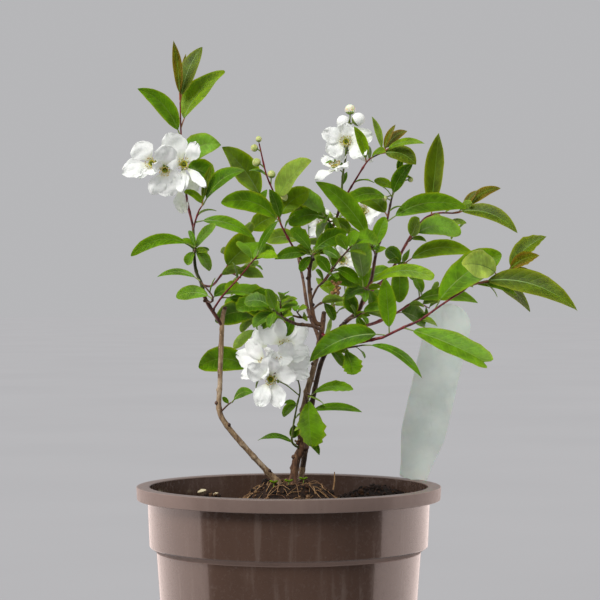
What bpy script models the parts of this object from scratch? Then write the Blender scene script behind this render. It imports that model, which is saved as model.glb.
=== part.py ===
"""A potted pearlbush: a young shrub with white flowers in a round nursery pot with a blank plant label.

Sizes are in millimetres and become metres when a mesh is made. The origin is the centre of the pot's flat
underside, +X is to the right and +Z is up. The front of the plant looks along -Y.
"""

import math
import random

import bpy
from mathutils import Matrix, Vector
from mathutils.bvhtree import BVHTree

MM = 0.001
GAP = 0.3

# Pot
RIM_RADIUS = 95.0
RIM_HEIGHT = 8.0
POT_HEIGHT = 148.0
COLLAR_TOP_RADIUS = 88.4
COLLAR_FOOT_RADIUS = 86.9
COLLAR_FOOT = 111.0
BODY_TOP_RADIUS = 82.6
BODY_TOP = 108.0
BASE_RADIUS = 75.0
BASE_EDGE = 2.0
WALL = 1.6
FLOOR = 3.0
RIM_EDGE = 0.6
RIM_DRAFT = 0.4
POT_STEPS = 32
MERGE_REACH = 0.01
DRAIN_HOLES = 4
DRAIN_RADIUS = 5.0
DRAIN_CIRCLE = 48.0
DRAIN_SIDES = 8

# Soil
SOIL_LEVEL = 132.0
ROOT_BALL_TOP = 149.7
ROOT_BALL_PLACE = Vector((1.0, 2.0))
ROOT_BALL_REACH = 30.0
FLAT_TOP = 15.0
HEAP_RISE = 12.0
HEAP_PLACE = Vector((58.0, 44.0))
HEAP_REACH = 26.0
RIPPLE = 1.4
SOIL_SPOKES = 24
SOIL_RING_RADII = (74.0, 60.0, 46.0, 34.0, 25.0, 18.0, 12.0)
STEM_FOOT = ROOT_BALL_TOP + GAP

# Plant label
LABEL_PLACE = Vector((79.8, 43.5))
LABEL_LEAN = 13.0
LABEL_WIDTH = 29.0
LABEL_LENGTH = 116.0
LABEL_SHOULDER_WIDTH = 18.0
LABEL_NARROWS_AT = 34.0
LABEL_THICKNESS = 0.8
TONGUE_WIDTH = 3.0
TONGUE_LENGTH = 7.0
SLOT_SPARE = 0.5
SLOT_DEPTH = 8.0
LABEL_ARC_STEPS = 8

# Limbs and twigs
LIMB_SIDES = 6
LIMB_STEP = 9.0
TWIG_SIDES = 3
TWIG_STEP = 10.0
TWIG_TIP_RADIUS = 0.5
TWIG_FROM = 0.3
TWIG_SPAN = 0.6
TWIG_TURN = 70.0
TWIG_REACH = (0.35, 0.6)
TWIG_SPREAD = 0.7
TWIG_BOW = 1.5
TWIG_LEAVES = (0.55, 0.8, 0.97)
START_SEARCH = 12.0
START_STEP = 0.1
LEAST_ACROSS = 0.3

# Leaves, as shares of a leaf's own length and width
LEAF_STATIONS = ((0.30, 0.44), (0.65, 0.46))
SMALL_LEAF_STATIONS = ((0.45, 0.50),)
SMALL_LEAF = 16.0
SMALL_LEAF_WIDTH = 0.42
SMALL_LENGTH = 12.0
SMALL_LENGTH_SPREAD = (0.75, 1.15)
STALK_SHARE = 0.12
STALK_RADIUS = 0.5
LEAF_THICKNESS = 0.013
LEAST_THICKNESS = 0.5
EDGE_RISE = 0.4
KEEL_DEPTH = 1.6
LEAF_ARCH = 0.14
SLOPE_STEP = 0.01
FACE_FRONT = 0.65
LEAST_FACING = 0.55
STEEPEST = 50.0
LEAST_LEAN = 4.0
MOST_LEAN = 30.0
LEAF_CLEARANCE = 0.35
REACH_SPARE = 1.3
ROOT_SHARE = 0.2
TURNS = (0, 14, -14, 28, -28, 42, -42)
SPIRAL = 144.0
SPIRAL_FROM = 0.15
SPIRAL_SPAN = 0.8
SPIRAL_PLAY = 20.0
SPREAD = 58.0

# Flowers and buds
PETALS = 5
PETAL_LENGTH = 15.0
PETAL_WIDTH = 12.0
PETAL_STATIONS = ((0.7, 0.5),)
PETAL_ROOT = 0.05
PETAL_ROOT_HALF = 0.03
PETAL_CUP = 18.0
PETAL_THICKNESS = 0.6
DISC_RADIUS = 2.3
DISC_DEPTH = 3.0
DISC_FRONT = 0.8
DISC_FOOT = 0.4
PEDICEL_RADIUS = 0.5
PEDICEL_BOW = 0.08
PEDICEL_SINK = 0.4
BUD_LEVELS = (-0.9, -0.2, 0.8)
BUD_SIDES = 5
BUD_FORWARD = 0.3

# The eye that the front view is drawn for: places are read on the plane through the pot's axis
EYE_ACROSS = 7.0
EYE_HEIGHT = 264.0
EYE_DISTANCE = 1300.0

# Each limb: what it grows on, how far along that, and its points as across, depth, height, thickness
LIMBS = {
    "trunk": (None, 0, (
        (2.7, 0, STEM_FOOT, 7.4), (3.2, 0, 154, 5.0), (5.0, 0, 165, 5.6), (8.2, -1, 172, 5.4),
        (7.8, -1, 183, 4.2), (10.8, 0, 204, 3.6), (16.0, 0, 223, 3.3), (20.2, 0, 243, 3.4),
        (22.0, 0, 256, 2.8),
    )),
    "second_stem": (None, 0, (
        (6.0, 8, STEM_FOOT, 4.6), (8.5, 9, 158, 3.4), (13.0, 8, 190, 3.2), (17.5, 7, 214, 3.0),
        (22.5, 7, 230, 2.9), (35.2, 6, 250, 2.8),
    )),
    "left_stem": (None, 0, (
        (-7.0, -2, STEM_FOOT, 5.2), (-12.5, -3, 156, 3.6), (-26, -7, 170.5, 3.4), (-39, -10, 186, 3.4),
        (-43.5, -10, 196, 3.3), (-43, -10, 213, 3.0), (-41.6, -8, 250, 2.9), (-40, -7, 259, 2.5),
    )),
    "left_bough": ("left_stem", 0.91, (
        (-45, -9, 253, 2.5), (-52, -9, 264.6, 2.3), (-54.8, -9, 274.6, 2.1), (-58.3, -8, 283.4, 2.0),
        (-59.4, -7, 300, 1.8), (-59.8, -6, 309.6, 1.7),
    )),
    "middle_bough": ("trunk", 0.93, (
        (16.2, -3, 251, 2.7), (13.4, -4, 266, 2.5), (12.7, -4, 280, 2.3), (15.2, -4, 294, 2.1),
    )),
    "upper_bough": ("middle_bough", 1, (
        (18.5, -4, 297, 1.9), (25.8, -4, 306, 1.8), (30.8, -4, 318, 1.7), (32.9, -4, 330, 1.6),
    )),
    "right_bough": ("second_stem", 1, (
        (43.3, 5, 257, 2.7), (46.6, 4, 265, 2.4), (51.4, 3, 276, 2.2), (54.6, 1, 293, 2.0),
        (59.2, 0, 309, 1.8),
    )),
    "right_low_bough": ("trunk", 0.88, (
        (27, -8, 239, 2.3), (41, -15, 237.5, 2.1), (58.5, -20, 240.5, 1.9),
    )),
    "right_back_bough": ("right_bough", 0.18, (
        (52, 14, 270, 2.2), (60, 24, 277, 2.0), (66.5, 32, 286.5, 1.8), (75, 40, 302, 1.7),
        (81.5, 46, 311.5, 1.6),
    )),
    "low_back_bough": ("second_stem", 0.9, (
        (38, 16, 247, 2.2), (52, 26, 249, 2.0), (66, 34, 255, 1.8),
    )),
    "back_bough": ("second_stem", 0.76, (
        (18, 20, 242, 2.4), (12, 38, 258, 2.1), (9, 54, 276, 1.8), (6, 62, 290, 1.7),
    )),
    "front_bough": ("trunk", 0.9, (
        (14, -13, 248, 2.2), (5, -24, 249, 1.9), (-2, -33, 252, 1.7),
    )),
    "left_back_bough": ("back_bough", 0.3, (
        (2, 36, 249, 2.0), (-12, 50, 252, 1.7),
    )),
}

# Each mass: its limb, how far along, its stem's points and thickness, its reach, its leaves as seen from the
# front (share of the stem, heading clockwise from up, length, width, and for some their own lean and arch),
# and how many small leaves and twigs the spiral adds. A flower: share of the stem, offset from it, facing,
# size, heading of its first petal.
MASSES = {
    "left_crown_leaves": dict(
        on=("left_bough", 1), thick=1.6, reach=50, small=1, twigs=0,
        stem=((-63.3, -5, 325.3), (-66, -4, 345), (-67.3, -3, 366.5), (-68, -2, 389)),
        flowers=(
            (0.3, -20, -12, 15, (-0.35, -0.9, 0.1), 1.0, -30),
            (0.33, 0, -13, 12, (0.1, -1.0, 0.1), 1.12, -25),
            (0.25, -12.4, -15, 15, (0.0, -0.8, -0.5), 1.0, 62),
        ),
        leaves=(
            (1, -5.3, 36.4, 6), (1, 5, 32, 3),
            (0.98, 20, 39.5, 11.5), (0.78, 34.5, 47.5, 13),
            (0.7, -39.5, 41, 11), (0.5, 64, 27, 15),
            (0.45, 105, 19, 14),
        ),
    ),
    "left_shoot_leaves": dict(
        on=("left_bough", 0.97), thick=1.3, reach=42, small=1, twigs=0,
        stem=((-58.5, -12, 313), (-56, -13, 320.3), (-53.6, -14, 323.4)),
        leaves=(
            (1, -53, 15.5, 5), (1, 50.6, 33.5, 9),
            (0.95, 14, 27, 4), (0.3, 104, 38, 8),
        ),
    ),
    "left_side_leaves": dict(
        on=("left_bough", 0.75), thick=1.4, reach=40, small=2, twigs=0,
        stem=((-58.7, -13, 294), (-58.6, -16, 297)),
        leaves=(
            (1, -97, 39, 7.5, None, 0.17), (0.6, -51, 12, 4),
            (1, -20, 11.8, 3.5), (0.15, 38.5, 22, 6),
            (0.5, 140, 14, 8), (0.3, 82, 9, 3),
            (0.4, -150, 9, 6),
        ),
    ),
    "left_rosette_leaves": dict(
        on=("left_bough", 0.25), thick=1.4, reach=42, small=1, twigs=0,
        stem=((-49, -14, 262.5), (-47.5, -17, 266), (-55.5, -16, 276)),
        leaves=(
            (1, -83, 27.5, 4), (0.35, -86, 23, 8),
            (0.3, 68, 17, 6),
        ),
    ),
    "left_front_leaves": dict(
        on=("left_bough", 0.12), thick=1.4, reach=36, small=3, twigs=0,
        stem=((-41, -16, 267), (-31, -24, 278), (-23.6, -30, 287), (-19.8, -34, 291.5)),
        leaves=(
            (0.3, 107, 25, 10), (0.2, 116, 38, 12),
            (0.9, 64, 15, 9), (0.88, -25, 14, 12),
            (1, 31, 25, 5), (0.95, 90, 14, 6),
        ),
    ),
    "left_back_leaves": dict(
        on=("left_bough", 0.4), thick=1.5, reach=52, small=4, twigs=1, small_length=17,
        stem=((-48, -1, 273), (-41.7, 12, 280.3), (-35.5, 22, 288), (-24.2, 38, 306.5), (-16.7, 48, 324.6)),
        leaves=(
            (0.32, 45, 27, 19), (1, -35.5, 43, 15),
            (0.9, 20, 18, 6), (0.72, 55, 23, 13),
        ),
    ),
    "low_left_back_leaves": dict(
        on=("second_stem", 0.6), thick=1.4, reach=42, small=4, twigs=0, small_length=14,
        stem=((12, 17, 215), (0, 26, 217.5), (-22, 36, 219)),
        leaves=((1, -82, 35, 15), (0.8, -30, 12, 5)),
    ),
    "bud_spray": dict(
        on=("middle_bough", 0.75), thick=1.5, reach=40, small=2, twigs=0,
        stem=(
            (6, -12, 292), (-0.7, -16, 303), (-6.3, -18, 315), (-9.2, -20, 330), (-14.2, -22, 343),
            (-18.8, -24, 363),
        ),
        leaves=(
            (0.55, 40, 34, 12.5), (0.41, -19, 21, 6),
            (0.4, -70, 39, 12), (0.44, 48, 25, 14),
            (0.47, 72, 16, 7),
        ),
        buds=(
            (1, 0, 1.5, 3.8), (0.93, -4, 2, 4.6), (0.81, -5, 3.5, 5.2), (0.68, 0.5, 7, 5), (0.5, 4, 8, 5.4),
        ),
    ),
    "middle_rosette_leaves": dict(
        on=("middle_bough", 0.97), thick=1.4, reach=36, small=1, twigs=0,
        stem=((14.6, -9, 290.5), (14.2, -15, 292.5)),
        leaves=(
            (1, 60, 25, 11, -12), (1, -40, 20.6, 8, -8),
            (0.9, -97, 23, 8, -6), (0.7, -145, 12, 6),
            (0.8, 84, 17, 5), (0.8, -64, 11, 7),
        ),
    ),
    "left_stem_leaves": dict(
        on=("left_stem", 0.47), thick=1.2, reach=24, small=0, twigs=0,
        stem=((-37.5, -14, 199), (-35.5, -17, 200)),
        leaves=((1, 62, 15, 4.5), (0.6, -40, 6, 3)),
    ),
    "middle_top_leaves": dict(
        on=("upper_bough", 0.6), thick=1.4, reach=38, small=4, twigs=0,
        stem=((26, -9, 313), (22, -12, 316)),
        leaves=(
            (0.9, -51, 27, 11), (1, -103, 22, 12),
            (0.6, 170, 14, 8), (0.5, 120, 15, 7),
            (0.4, -150, 16, 8),
        ),
    ),
    "upper_flowers": dict(
        on=("upper_bough", 1), thick=1.5, reach=34, small=1, twigs=0,
        stem=((33.9, -5, 343), (35.4, -5, 352), (37.5, -3, 366), (38.3, -3, 377)),
        leaves=((0.1, 20, 10, 3), (0.35, -75, 12, 4)),
        flowers=(
            (0.45, 0.3, -5, 11, (0.0, -1.0, 0.1), 0.97, -68),
            (0.28, -5, -5, 3.5, (-0.25, -0.5, 0.8), 0.9, 240),
        ),
        buds=((1, 0, 6, 6.6), (0.92, 5.4, 3.5, 6.6), (0.92, -4, 2, 6.6)),
    ),
    "arch_leaves": dict(
        on=("upper_bough", 0.8), thick=1.4, reach=32, small=2, twigs=0,
        stem=((38, -9, 333), (42, -11, 339.6), (48.3, -13, 349.6), (52, -14, 353), (59.3, -15, 356.5)),
        leaves=(
            (0.7, -19.5, 23.5, 6.5, -14), (0.98, -17, 23.5, 4.4),
            (1, 23, 19, 4), (1, 47, 21, 5),
            (1, 81, 25, 4.4), (0.95, 109, 23, 11),
            (0.8, 70, 9, 4),
        ),
    ),
    "right_top_leaves": dict(
        on=("right_bough", 1), thick=1.6, reach=58, small=3, twigs=0,
        stem=((61.2, 0, 313), (64.2, 0, 327), (66.7, 0, 335.3), (68.9, 0, 342.8)),
        leaves=(
            (0.1, 81, 52, 12.5), (0.55, 31, 24, 8),
            (0.5, -92, 29, 7.5), (0.7, -65, 14, 6),
            (1, 10, 12, 4), (0.2, -50, 24, 12),
        ),
        buds=((0.8, 9, 3, 3.5), (0.6, -5, -2, 3.5)),
    ),
    "right_middle_leaves": dict(
        on=("right_bough", 0.72), thick=1.4, reach=62, small=4, twigs=0,
        stem=((53.5, -5, 294), (51.5, -9, 298)),
        leaves=(
            (1, -40, 54, 12.5, -16), (0.6, 20, 22, 9),
            (0.7, -120, 14, 6),
        ),
    ),
    "right_inner_leaves": dict(
        on=("right_bough", 0.4), thick=1.4, reach=50, small=4, twigs=0,
        stem=((49.5, -6, 270), (48, -13, 271), (46.5, -18, 272)),
        leaves=(
            (1, -12, 38, 15), (0.8, 80, 42, 7.5, None, 0.16),
            (0.6, 160, 12, 6), (0.7, -115, 14, 6),
        ),
    ),
    "right_back_top_leaves": dict(
        on=("right_back_bough", 1), thick=1.5, reach=58, small=3, twigs=1,
        stem=((86.4, 48, 316), (94.5, 50, 318.4), (104.5, 52, 318.4), (112, 54, 321)),
        leaves=(
            (0.28, 4, 54, 12), (1, 57, 26, 7),
            (0.7, 107, 42, 10), (0.9, 35, 16, 5),
        ),
    ),
    "right_back_middle_leaves": dict(
        on=("right_back_bough", 0.8), thick=1.3, reach=40, small=1, twigs=0,
        stem=((75.5, 37, 301), (77.5, 33, 303)),
        leaves=((1, 84, 31, 12.5, None, 0.2), (0.6, 20, 14, 8)),
    ),
    "right_back_side_leaves": dict(
        on=("right_back_bough", 0.62), thick=1.4, reach=56, small=4, twigs=0,
        stem=((69, 28, 286), (72, 24, 286.5)),
        leaves=(
            (1, 80, 45, 11), (0.3, 180, 24, 12),
            (0.6, -40, 14, 9),
        ),
    ),
    "right_low_leaves": dict(
        on=("right_low_bough", 1), thick=1.7, reach=60, small=3, twigs=0,
        stem=(
            (72, -24, 247), (82, -27, 251.5), (94.5, -30, 260.3), (107.7, -33, 269), (115.2, -34, 274),
            (127, -36, 276), (137, -37, 281),
        ),
        leaves=(
            (0.03, -109, 50, 15), (0.05, -5, 36, 11),
            (0.16, 111, 55, 12.5, None, 0.02), (0.42, 49, 53, 17.5),
            (0.93, -75, 25, 12, -15), (1, 44.5, 33, 9.5),
            (1, 57, 21, 6.5), (0.75, 104.5, 62, 14),
            (0.72, 101, 30, 5), (0.85, 124, 34, 7.5),
            (0.97, 84, 18, 3),
        ),
    ),
    "low_back_leaves": dict(
        on=("low_back_bough", 1), thick=1.5, reach=50, small=4, twigs=1,
        stem=((82, 42, 265.6), (92, 46, 271), (101.4, 50, 275.6)),
        leaves=(
            (0.3, 91, 44, 9.4), (0.03, 118, 27, 10),
            (1, 60, 20, 6), (0.9, 95, 18, 6),
            (0.5, -20, 18, 7),
        ),
    ),
    "low_front_leaves": dict(
        on=("trunk", 0.8), thick=1.4, reach=44, small=3, twigs=0,
        stem=((27, -12, 233), (36, -17, 234), (47.7, -20, 236)),
        leaves=(
            (0.95, 117, 40, 4.4), (0.6, 158, 17, 11),
            (0.25, 140, 15, 6), (0.9, 60, 10, 4),
        ),
    ),
    "inner_front_leaves": dict(
        on=("middle_bough", 0.35), thick=1.5, reach=30, small=6, twigs=1, small_length=13,
        stem=((18, -12, 272), (23.3, -20, 277), (30.8, -27, 288), (39.5, -32, 298)),
        leaves=(
            (0.75, -60, 12, 6), (0.9, -35, 12, 7),
            (0.35, 95, 22, 9), (0.6, 120, 18, 8),
            (0.5, -35, 14, 7), (1, 85, 16, 8),
            (0.95, 25, 12, 7),
        ),
    ),
    "front_leaves": dict(
        on=("front_bough", 1), thick=1.5, reach=32, small=3, twigs=1, small_length=15,
        stem=((-6, -42, 255), (-10, -50, 258)),
        leaves=(
            (1, -75, 18, 8), (0.9, -20, 14, 7),
            (0.6, 60, 14, 7), (0.5, -115, 17, 8),
            (0.05, -31, 13, 5),
        ),
    ),
    "inner_right_leaves": dict(
        on=("right_bough", 0.05), thick=1.4, reach=26, small=3, twigs=0, small_length=12,
        stem=((41, -3, 253), (46, -9, 256)),
        leaves=(
            (1, 75, 15, 6), (0.7, 30, 19, 10),
            (0.9, 105, 17, 5), (0.5, -20, 16, 9),
            (0.6, 160, 12, 6),
        ),
    ),
    "inner_left_leaves": dict(
        on=("middle_bough", 0.15), thick=1.4, reach=30, small=3, twigs=1, small_length=13,
        stem=((8, -11, 253), (0, -15, 255), (-10, -20, 257)),
        leaves=(
            (1, -85, 22, 9), (0.8, -125, 18, 8),
            (0.6, -27, 14, 6), (0.5, -160, 13, 7),
            (0.9, -50, 20, 8),
        ),
    ),
    "back_crown_leaves": dict(
        on=("back_bough", 1), thick=1.6, reach=34, small=4, twigs=1, small_length=20,
        stem=((7, 70, 298), (17, 76, 307), (32, 78, 316)),
        leaves=(
            (1, 40, 22, 10), (0.8, -60, 24, 10),
            (0.6, 110, 20, 10), (0.3, -85, 24, 10),
        ),
        flowers=((0.6, 4, -9, 4, (0.1, -0.9, 0.2), 0.85, 0), (1, 15, -6, 4, (0.3, -0.9, 0.2), 0.85, 20)),
    ),
    "back_left_leaves": dict(
        on=("left_back_bough", 1), thick=1.5, reach=30, small=4, twigs=1, small_length=18,
        stem=((-18, 58, 253), (-24, 64, 256)),
        leaves=(
            (1, -70, 18, 8), (0.8, -20, 16, 7),
            (0.6, 100, 18, 8), (0.4, -95, 30, 14),
        ),
    ),
    "back_low_leaves": dict(
        on=("back_bough", 0.45), thick=1.5, reach=34, small=4, twigs=1, small_length=18,
        stem=((20, 46, 262), (34, 58, 266), (46, 66, 272)),
        leaves=(
            (1, 60, 22, 9), (0.8, 110, 22, 9),
            (0.5, -40, 18, 8), (0.3, 150, 14, 6),
        ),
        flowers=((0.7, -2, -5, 23, (0.1, -1.0, 0.1), 0.85, 30),),
    ),
    "low_flowers": dict(
        on=("trunk", 0.2), thick=1.4, reach=30, small=2, twigs=0,
        stem=(
            (2.2, -8, 175), (2.7, -9, 184.6), (5.2, -11, 198.4), (7, -12, 208), (4, -13, 219), (0, -13, 228),
        ),
        leaves=(
            (0.05, -83, 24, 3.4), (0.3, 180, 9, 6),
            (0.5, -80, 8, 3), (0.5, -130, 11, 6),
            (0.22, 80, 43, 6),
        ),
        flowers=(
            (0.6, -17.4, -9, 10.3, (-0.1, -1.0, -0.15), 1.02, 3),
            (0.8, -19.5, -4, 8, (-0.75, -0.6, 0.2), 0.95, 20),
            (1, -2.6, -3, 7.4, (0.1, -0.95, 0.3), 1.08, -55),
            (0.82, -11, -5, 7.8, (0.4, -0.85, -0.25), 1.05, 80),
        ),
    ),
    "low_right_leaves": dict(
        on=("trunk", 0.46), thick=1.3, reach=36, small=2, twigs=0,
        stem=((13, -7, 204), (10.5, -14, 205), (12, -11, 191), (11, -9, 177)),
        leaves=(
            (0.12, 78, 28, 6), (0.208, 176, 30, 15), (0.6, 87, 34, 5, None, 0.08), (1, 138, 12, 4.5),
        ),
    ),
}

COLOURS = {
    "pot": ((0.24, 0.20, 0.18), 0.32),
    "soil": ((0.045, 0.028, 0.018), 0.95),
    "label": ((0.66, 0.72, 0.70), 0.45),
    "bark": ((0.30, 0.22, 0.15), 0.85),
    "leaf": ((0.10, 0.24, 0.02), 0.55),
}


# Meshes

def make_material(name):
    colour, roughness = COLOURS[name]
    material = bpy.data.materials.new(name)
    material.use_nodes = True
    shader = material.node_tree.nodes["Principled BSDF"]
    shader.inputs["Base Color"].default_value = (*colour, 1)
    shader.inputs["Roughness"].default_value = roughness
    return material


def skin(rings, tip=None):
    """Points and faces of a closed solid over rings of equal size, with a flat start, and a tip if given."""
    sides = len(rings[0])
    points = [point for ring in rings for point in ring]
    faces = [tuple(reversed(range(sides)))]
    for first in range(0, sides * (len(rings) - 1), sides):
        for side in range(sides):
            beside = (side + 1) % sides
            faces.append((first + side, first + beside, first + sides + beside, first + sides + side))
    last = sides * (len(rings) - 1)
    if tip is None:
        faces.append(tuple(range(last, last + sides)))
    else:
        points.append(tip)
        faces += [(last + side, last + (side + 1) % sides, len(points) - 1) for side in range(sides)]
    return points, faces


def mesh_of(name, shape):
    points, faces = shape
    mesh = bpy.data.meshes.new(name)
    mesh.from_pydata([point * MM for point in points], [], faces)
    mesh.update()
    return mesh


def add_object(name, mesh, material, collection=None):
    piece = bpy.data.objects.new(name, mesh)
    piece.data.materials.append(material)
    (collection or bpy.context.scene.collection).objects.link(piece)
    return piece


def tree_of(shape):
    return BVHTree.FromPolygons(*shape)


def fuse(name, shapes, material):
    """One solid from overlapping shapes: the first takes the others in by a union."""
    fused = add_object(name, mesh_of(name, shapes[0]), material)
    others = bpy.data.collections.new(name + "_pieces")
    bpy.context.scene.collection.children.link(others)
    for number, shape in enumerate(shapes[1:]):
        piece_name = f"{name}_piece_{number}"
        add_object(piece_name, mesh_of(piece_name, shape), material, others)
    union = fused.modifiers.new("union", "BOOLEAN")
    union.operation = "UNION"
    union.operand_type = "COLLECTION"
    union.collection = others
    union.solver = "EXACT"
    joined = bpy.data.meshes.new_from_object(fused.evaluated_get(bpy.context.evaluated_depsgraph_get()))
    fused.modifiers.clear()
    fused.data = joined
    for piece in list(others.objects):
        bpy.data.objects.remove(piece)
    bpy.data.collections.remove(others)
    return fused


# Paths

def seen(across, depth, height):
    """The real place of a point that shows there from the front: what lies deeper spreads from the eye."""
    spread = (EYE_DISTANCE + depth) / EYE_DISTANCE
    return Vector((
        EYE_ACROSS + (across - EYE_ACROSS) * spread,
        depth,
        EYE_HEIGHT + (height - EYE_HEIGHT) * spread,
    ))


def smooth_path(points, step):
    """A smooth curve through the points, with about this step between its own."""
    ends = [points[0] * 2 - points[1], *points, points[-1] * 2 - points[-2]]
    path = []
    for before, start, end, after in zip(ends, ends[1:], ends[2:], ends[3:]):
        count = max(1, round((end - start).length / step))
        for number in range(count):
            t = number / count
            path.append(
                (start * 2 + (end - before) * t + (before * 2 - start * 5 + end * 4 - after) * t**2
                 + (start * 3 - before - end * 3 + after) * t**3) / 2
            )
    return path + [points[-1]]


def length_of(path):
    return sum((end - start).length for start, end in zip(path, path[1:]))


def place_on(path, distance):
    """The point this far along the path, and the heading there."""
    for start, end in zip(path, path[1:]):
        step = (end - start).length
        if distance <= step:
            return start.lerp(end, distance / step), (end - start).normalized()
        distance -= step
    return path[-1].copy(), (path[-1] - path[-2]).normalized()


def ring_round(centre, heading, radius, sides):
    """Corners of a section across the heading, its first corner to the right."""
    right = Vector((1, 0, 0)) - heading * heading.x
    if right.length < LEAST_ACROSS:
        right = Vector((0, 1, 0)) - heading * heading.y
    right.normalize()
    ahead = heading.cross(right)
    turns = [math.tau * side / sides for side in range(sides)]
    return [centre + (right * math.cos(turn) + ahead * math.sin(turn)) * radius for turn in turns]


def tube(path, radii, sides):
    """A tapering tube along the path. Each section is turned as little as can be from the one before."""
    heading = (path[1] - path[0]).normalized()
    spokes = [corner - path[0] for corner in ring_round(path[0], heading, 1, sides)]
    rings = []
    for number, (centre, radius) in enumerate(zip(path, radii)):
        before = path[max(number - 1, 0)]
        after = path[min(number + 1, len(path) - 1)]
        turn = heading.rotation_difference((after - before).normalized())
        heading = (after - before).normalized()
        spokes = [turn @ spoke for spoke in spokes]
        rings.append([centre + spoke * radius for spoke in spokes])
    return skin(rings)


def clear_start(path, tree, radius, sides):
    """How far along the path a section of this radius is a gap away from what the path grows on."""
    steps = int(START_SEARCH / START_STEP)
    for number in range(steps, -1, -1):
        centre, heading = place_on(path, number * START_STEP)
        corners = ring_round(centre, heading, radius, sides)
        if min(tree.find_nearest(corner)[3] for corner in corners) < GAP:
            return (number + 1) * START_STEP
    return 0


def cut_start(path, radii, distance):
    """The path and its radii without this much of their start."""
    start, _ = place_on(path, distance)
    while len(path) > 2 and distance > 0:
        step = (path[1] - path[0]).length
        if distance < step:
            break
        distance -= step
        path = path[1:]
        radii = radii[1:]
    return [start, *path[1:]], radii


# Limbs

def grow_limb(name, limbs):
    """A limb's path, shape and search tree, from its points and the limb that it grows on."""
    parent, share, points = LIMBS[name]
    places = [seen(*point[:3]) for point in points]
    thick = [point[3] for point in points]
    if parent:
        root_path = limbs[parent]["path"]
        root, _ = place_on(root_path, share * length_of(root_path))
        places.insert(0, root)
        thick.insert(0, thick[0])
    path = smooth_path(places, LIMB_STEP)
    radii = []
    for start, end, a, b in zip(thick, thick[1:], places, places[1:]):
        count = max(1, round((b - a).length / LIMB_STEP))
        radii += [(start + (end - start) * number / count) / 2 for number in range(count)]
    radii.append(thick[-1] / 2)
    if parent:
        start = clear_start(path, limbs[parent]["tree"], radii[0], LIMB_SIDES)
        path, radii = cut_start(path, radii, start)
    shape = tube(path, radii, LIMB_SIDES)
    if not parent:
        shape = flat_foot(shape)
    return {"path": path, "shape": shape, "tree": tree_of(shape)}


def flat_foot(shape):
    """The shape with its first section laid flat at soil level."""
    points, faces = shape
    for point in points[:LIMB_SIDES]:
        point.z = STEM_FOOT
    return points, faces


# Leaves

def leaf_axes(heading, lean, tilt):
    """A leaf's direction and the way that its upper side faces, from its heading as seen from the front."""
    turn = math.radians(heading)
    deep = math.radians(lean)
    along = Vector((math.sin(turn) * math.cos(deep), math.sin(deep), math.cos(turn) * math.cos(deep)))
    facing = Vector((0, -FACE_FRONT, 1 - FACE_FRONT))
    facing = (facing - along * facing.dot(along)).normalized()
    return along, Matrix.Rotation(math.radians(tilt), 3, along) @ facing


def keeled_ring(middle, side, up):
    """The three corners of a blade's section: its two edges and the keel under its midrib."""
    return [middle + side + up * EDGE_RISE, middle - side + up * EDGE_RISE, middle - up * KEEL_DEPTH]


def blade(base, along, facing, length, width, arch, swell=0.0, start=0.0):
    """An arching leaf with a keel, which ends in a point, on a stalk sunk in its twig."""
    thick = max(LEAST_THICKNESS, LEAF_THICKNESS * length) / 2 + swell
    lift = Vector((0, 0, 1)) - along * along.z
    rise = lift * length * arch * 4

    def centre(share):
        return base + along * length * share + rise * share * (1 - share)

    stalk = STALK_SHARE if length > SMALL_LEAF else 0
    stations = LEAF_STATIONS if length > SMALL_LEAF else SMALL_LEAF_STATIONS
    shares = [(start, 0)]
    if stalk > start:
        shares.append((stalk, 0))
    shares += [(stalk + (1 - stalk) * share, half) for share, half in stations]
    rings = []
    for share, half in shares:
        heading = (centre(share + SLOPE_STEP) - centre(share)).normalized()
        side = facing.cross(heading).normalized()
        up = heading.cross(side)
        half_width = max(width * half, STALK_RADIUS) + swell
        rings.append(keeled_ring(centre(share), side * half_width, up * thick))
    return skin(rings, centre(1) + along * swell)


def swollen_tree(leaf, start=0.0):
    """The search tree of a leaf that is swollen by its clearance, to find what it would touch."""
    return tree_of(blade(*leaf, LEAF_CLEARANCE, start))


def in_reach(point, stem_path, reach):
    return min((point - place).length for place in stem_path) <= reach


def fit_leaf(mass, base, axes_of, arch=LEAF_ARCH):
    """Adds the leaf at the first turn that is clear of its neighbours, or skips it."""
    spare = None
    for turn in TURNS:
        along, facing, true_length, true_width = axes_of(turn)
        if not in_reach(base + along * true_length, mass["path"], mass["reach"] * REACH_SPARE):
            continue
        leaf = (base, along, facing, true_length, true_width, arch)
        tree = swollen_tree(leaf)
        if any(tree.overlap(other) for other in mass["others"]):
            continue
        tree = swollen_tree(leaf, ROOT_SHARE)
        if any(tree.overlap(own) for own in mass["trees"]):
            spare = spare or leaf
            continue
        spare = leaf
        break
    if spare:
        shape = blade(*spare)
        mass["shapes"].append(shape)
        mass["trees"].append(tree_of(shape))


def front_leaf(mass, share, heading, length, width, lean=None, arch=LEAF_ARCH):
    """A leaf placed by how it shows from the front: without a lean of its own it has a seeded one."""
    base, _ = place_on(mass["path"], share * length_of(mass["path"]))
    chance = mass["chance"]
    seeded_lean = chance.uniform(LEAST_LEAN, MOST_LEAN) * chance.choice((-1, 1))
    first_lean = seeded_lean if lean is None else lean
    tilt = chance.uniform(-MOST_LEAN, MOST_LEAN)

    def axes_of(turn):
        deep = min(max(first_lean + turn, -STEEPEST), STEEPEST)
        along, facing = leaf_axes(heading, deep, tilt + turn)
        true_length = length / math.cos(math.radians(deep))
        return along, facing, true_length, width / max(LEAST_FACING, abs(facing.y))

    fit_leaf(mass, base, axes_of, arch)


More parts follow.
